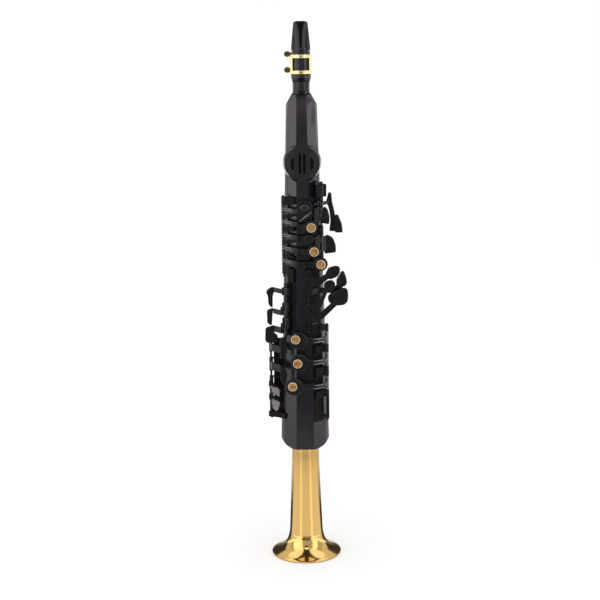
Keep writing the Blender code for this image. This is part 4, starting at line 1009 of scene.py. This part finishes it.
def camera():
    data = bpy.data.cameras.new("camera")
    data.lens = CAMERA_LENS
    data.sensor_width = 36.0
    data.clip_start, data.clip_end = 0.1, 100.0
    made = bpy.data.objects.new("camera", data)
    bpy.context.scene.collection.objects.link(made)
    e = math.radians(CAMERA_ELEVATION)
    back = Vector((0, -math.cos(e), math.sin(e)))
    made.location = AIM + back * CAMERA_DISTANCE
    made.rotation_mode = "QUATERNION"
    roll = Matrix.Rotation(math.radians(-ROLL_DEG), 4, "Z").to_quaternion()
    made.rotation_quaternion = (-back).to_track_quat("-Z", "Y") @ roll
    bpy.context.scene.camera = made


def between(table, value):
    """The level at a value, on straight lines between pairs of value and level."""
    for (low, a), (high, b) in zip(table, table[1:]):
        if value <= high:
            return a + (b - a) * max(0.0, value - low) / (high - low)
    return table[-1][1]


# Two glowing surfaces are seen by reflections alone, and the levels below say how bright they are. Near
# the bell the floor follows NEAR_FLOOR, pairs of angle from the front and level. Beyond FAR_START it is
# dark in front, for the housing's front strip, and bright at the sides, for its sloping facets.
NEAR_FLOOR = ((0, 0.95), (26, 0.95), (33, 1.42), (40, 1.42), (48, 0.98), (100, 1.0), (120, 0.7),
              (150, 1.0), (180, 1.0))
FADE_START, FAR_START = 0.5, 0.66
SHADE_RADIUS, SHADE_SIDE, SHADE = 0.26, 115, 0.05
FAR_RAMP_START, FAR_RAMP = 1.0, 1.4
FRONT_NEAR, FRONT_FAR = 0.02, 0.25
SIDE_NEAR, SIDE_FAR = 1.0, 1.85
BACK_SIDE, BACK = 0.5, 1.2
# Over the floor there is a dome. In front it holds a black card with a white one above it.
DOME_RADIUS, GLOW_HEIGHT = 6.0, 0.003
CARD_HALF, CARD_LOW, CARD_MIDDLE, CARD_HIGH = 11, 28, 44, 54
BLACK, DARK, DIM, EVEN, BACKDROP, OVERHEAD, PANEL, WHITE = 0.01, 0.03, 0.12, 0.6, 0.85, 1.5, 1.9, 3.0


def floor_level(turn, radius):
    """What reflections see of the floor, by the angle from the front and the distance."""
    side = abs(turn)
    if radius < FAR_START:
        fade = min(1.0, 1.0 - (radius - FADE_START) / (FAR_START - FADE_START) * 0.5)
        shaded = radius < SHADE_RADIUS and side > SHADE_SIDE
        return SHADE if shaded else fade * between(NEAR_FLOOR, side)
    share = min(1.0, max(0.0, (radius - FAR_RAMP_START) / FAR_RAMP))
    front = FRONT_NEAR + (FRONT_FAR - FRONT_NEAR) * share
    flank = SIDE_NEAR + (SIDE_FAR - SIDE_NEAR) * share
    return between(((0, front), (22, front), (46, 0.6 * flank), (60, flank), (96, flank), (104, BACK_SIDE),
                    (122, BACK_SIDE), (134, BACK), (180, BACK)), side)


def sky_level(turn, rise):
    """What reflections see of the studio around, by the angle from the front and the height in degrees."""
    side = abs(turn)
    across = math.cos(math.radians(rise)) * math.sin(math.radians(turn))
    back = -math.cos(math.radians(rise)) * math.cos(math.radians(turn))
    if side < CARD_HALF and CARD_LOW < rise < CARD_HIGH:
        return BLACK if rise < CARD_MIDDLE else WHITE
    if rise < 6:
        return DIM if side < 30 or side > 135 else SIDE_FAR
    if side > 130 and rise < 34:
        return SHADE
    if rise >= 40 and abs(across) < 0.2 and -0.6 < back < 0.8:
        return DARK
    if rise < 52 and side < 100:
        return PANEL if -85 < turn < -26 or 38 < turn < 70 else EVEN
    return OVERHEAD if rise >= 52 else BACKDROP


def glow(name, rows, columns, place, level):
    """A surface that only reflections see, and that shines with a level of its own at each point."""
    points, shades = [], []
    for row in rows:
        for column in range(columns):
            turn = -180 + 360 * column / columns
            points.append(place(math.radians(turn), row))
            shades.append(level(turn, row))
    faces = []
    for i in range(len(rows) - 1):
        for column in range(columns):
            after = (column + 1) % columns
            faces.append((i * columns + column, i * columns + after, (i + 1) * columns + after,
                          (i + 1) * columns + column))
    data = bpy.data.meshes.new(name)
    data.from_pydata(points, [], faces)
    shade = data.color_attributes.new("level", "FLOAT_COLOR", "POINT")
    for item, value in zip(shade.data, shades):
        item.color = (value, value, value, 1)
    made = bpy.data.materials.new(name)
    made.use_nodes = True
    tree = made.node_tree
    shader = tree.nodes["Principled BSDF"]
    shader.inputs["Base Color"].default_value = (0, 0, 0, 1)
    shader.inputs["Specular IOR Level"].default_value = 0.0
    shader.inputs["Emission Strength"].default_value = 1.0
    colour = tree.nodes.new("ShaderNodeVertexColor")
    colour.layer_name = "level"
    tree.links.new(colour.outputs["Color"], shader.inputs["Emission Color"])
    data.materials.append(made)
    thing = bpy.data.objects.new(name, data)
    bpy.context.scene.collection.objects.link(thing)
    thing.visible_camera = False
    thing.visible_shadow = False
    thing.visible_diffuse = False
    thing.visible_transmission = False


def on_floor(turn, radius):
    return radius * math.sin(turn), -radius * math.cos(turn), GLOW_HEIGHT


def on_dome(turn, rise):
    e = math.radians(rise)
    reach = DOME_RADIUS * math.cos(e)
    return reach * math.sin(turn), -reach * math.cos(turn), DOME_RADIUS * math.sin(e)


def softbox(name, place, aim, width, height, power):
    data = bpy.data.lights.new(name, "AREA")
    data.shape = "RECTANGLE"
    data.size, data.size_y = width, height
    data.energy = power
    made = bpy.data.objects.new(name, data)
    bpy.context.scene.collection.objects.link(made)
    made.location = place
    made.rotation_mode = "QUATERNION"
    made.rotation_quaternion = (Vector(aim) - Vector(place)).to_track_quat("-Z", "Y")
    made.visible_camera = False
    made.visible_glossy = False
    return made


def stage():
    scene = bpy.context.scene
    scene.view_settings.view_transform = "Standard"
    world = bpy.data.worlds.new("studio")
    scene.world = world
    world.use_nodes = True
    world.node_tree.nodes["Background"].inputs["Color"].default_value = (1, 1, 1, 1)
    world.node_tree.nodes["Background"].inputs["Strength"].default_value = 1.06
    world.cycles_visibility.glossy = False

    half_size = 40.0
    data = bpy.data.meshes.new("floor")
    corners = [(x, y, 0) for x, y in rectangle(-half_size, half_size, -half_size, half_size)]
    data.from_pydata(corners, [], [(0, 1, 2, 3)])
    paint = bpy.data.materials.new("pale_floor")
    paint.use_nodes = True
    shader = paint.node_tree.nodes["Principled BSDF"]
    shader.inputs["Base Color"].default_value = (0.94, 0.94, 0.94, 1)
    shader.inputs["Roughness"].default_value = 0.9
    shader.inputs["Specular IOR Level"].default_value = 0.0
    data.materials.append(paint)
    floor = bpy.data.objects.new("floor", data)
    scene.collection.objects.link(floor)
    floor.location.z = -0.0005

    rings = [0.052, 0.08, 0.119, 0.121, 0.2, 0.4, 0.659, 0.661, 0.9, 1.2, 1.6, 2.2, 3.0, DOME_RADIUS]
    glow("floor_glow", rings, 360, on_floor, floor_level)
    glow("sky_glow", [0.0] + [2.0 * i - 0.5 for i in range(1, 46)], 360, on_dome, sky_level)
    softbox("top_box", (0, -0.4, 2.4), (0, 0, 0.3), 1.4, 1.4, 4)


def main():
    housing()
    speaker()
    bell()
    neck()
    mouthpiece()
    ligature()
    left_hand_keys()
    table_keys()
    palm_keys()
    side_keys()
    little_finger_keys()
    right_hand_keys()
    carried_over()
    camera()
    stage()


main()
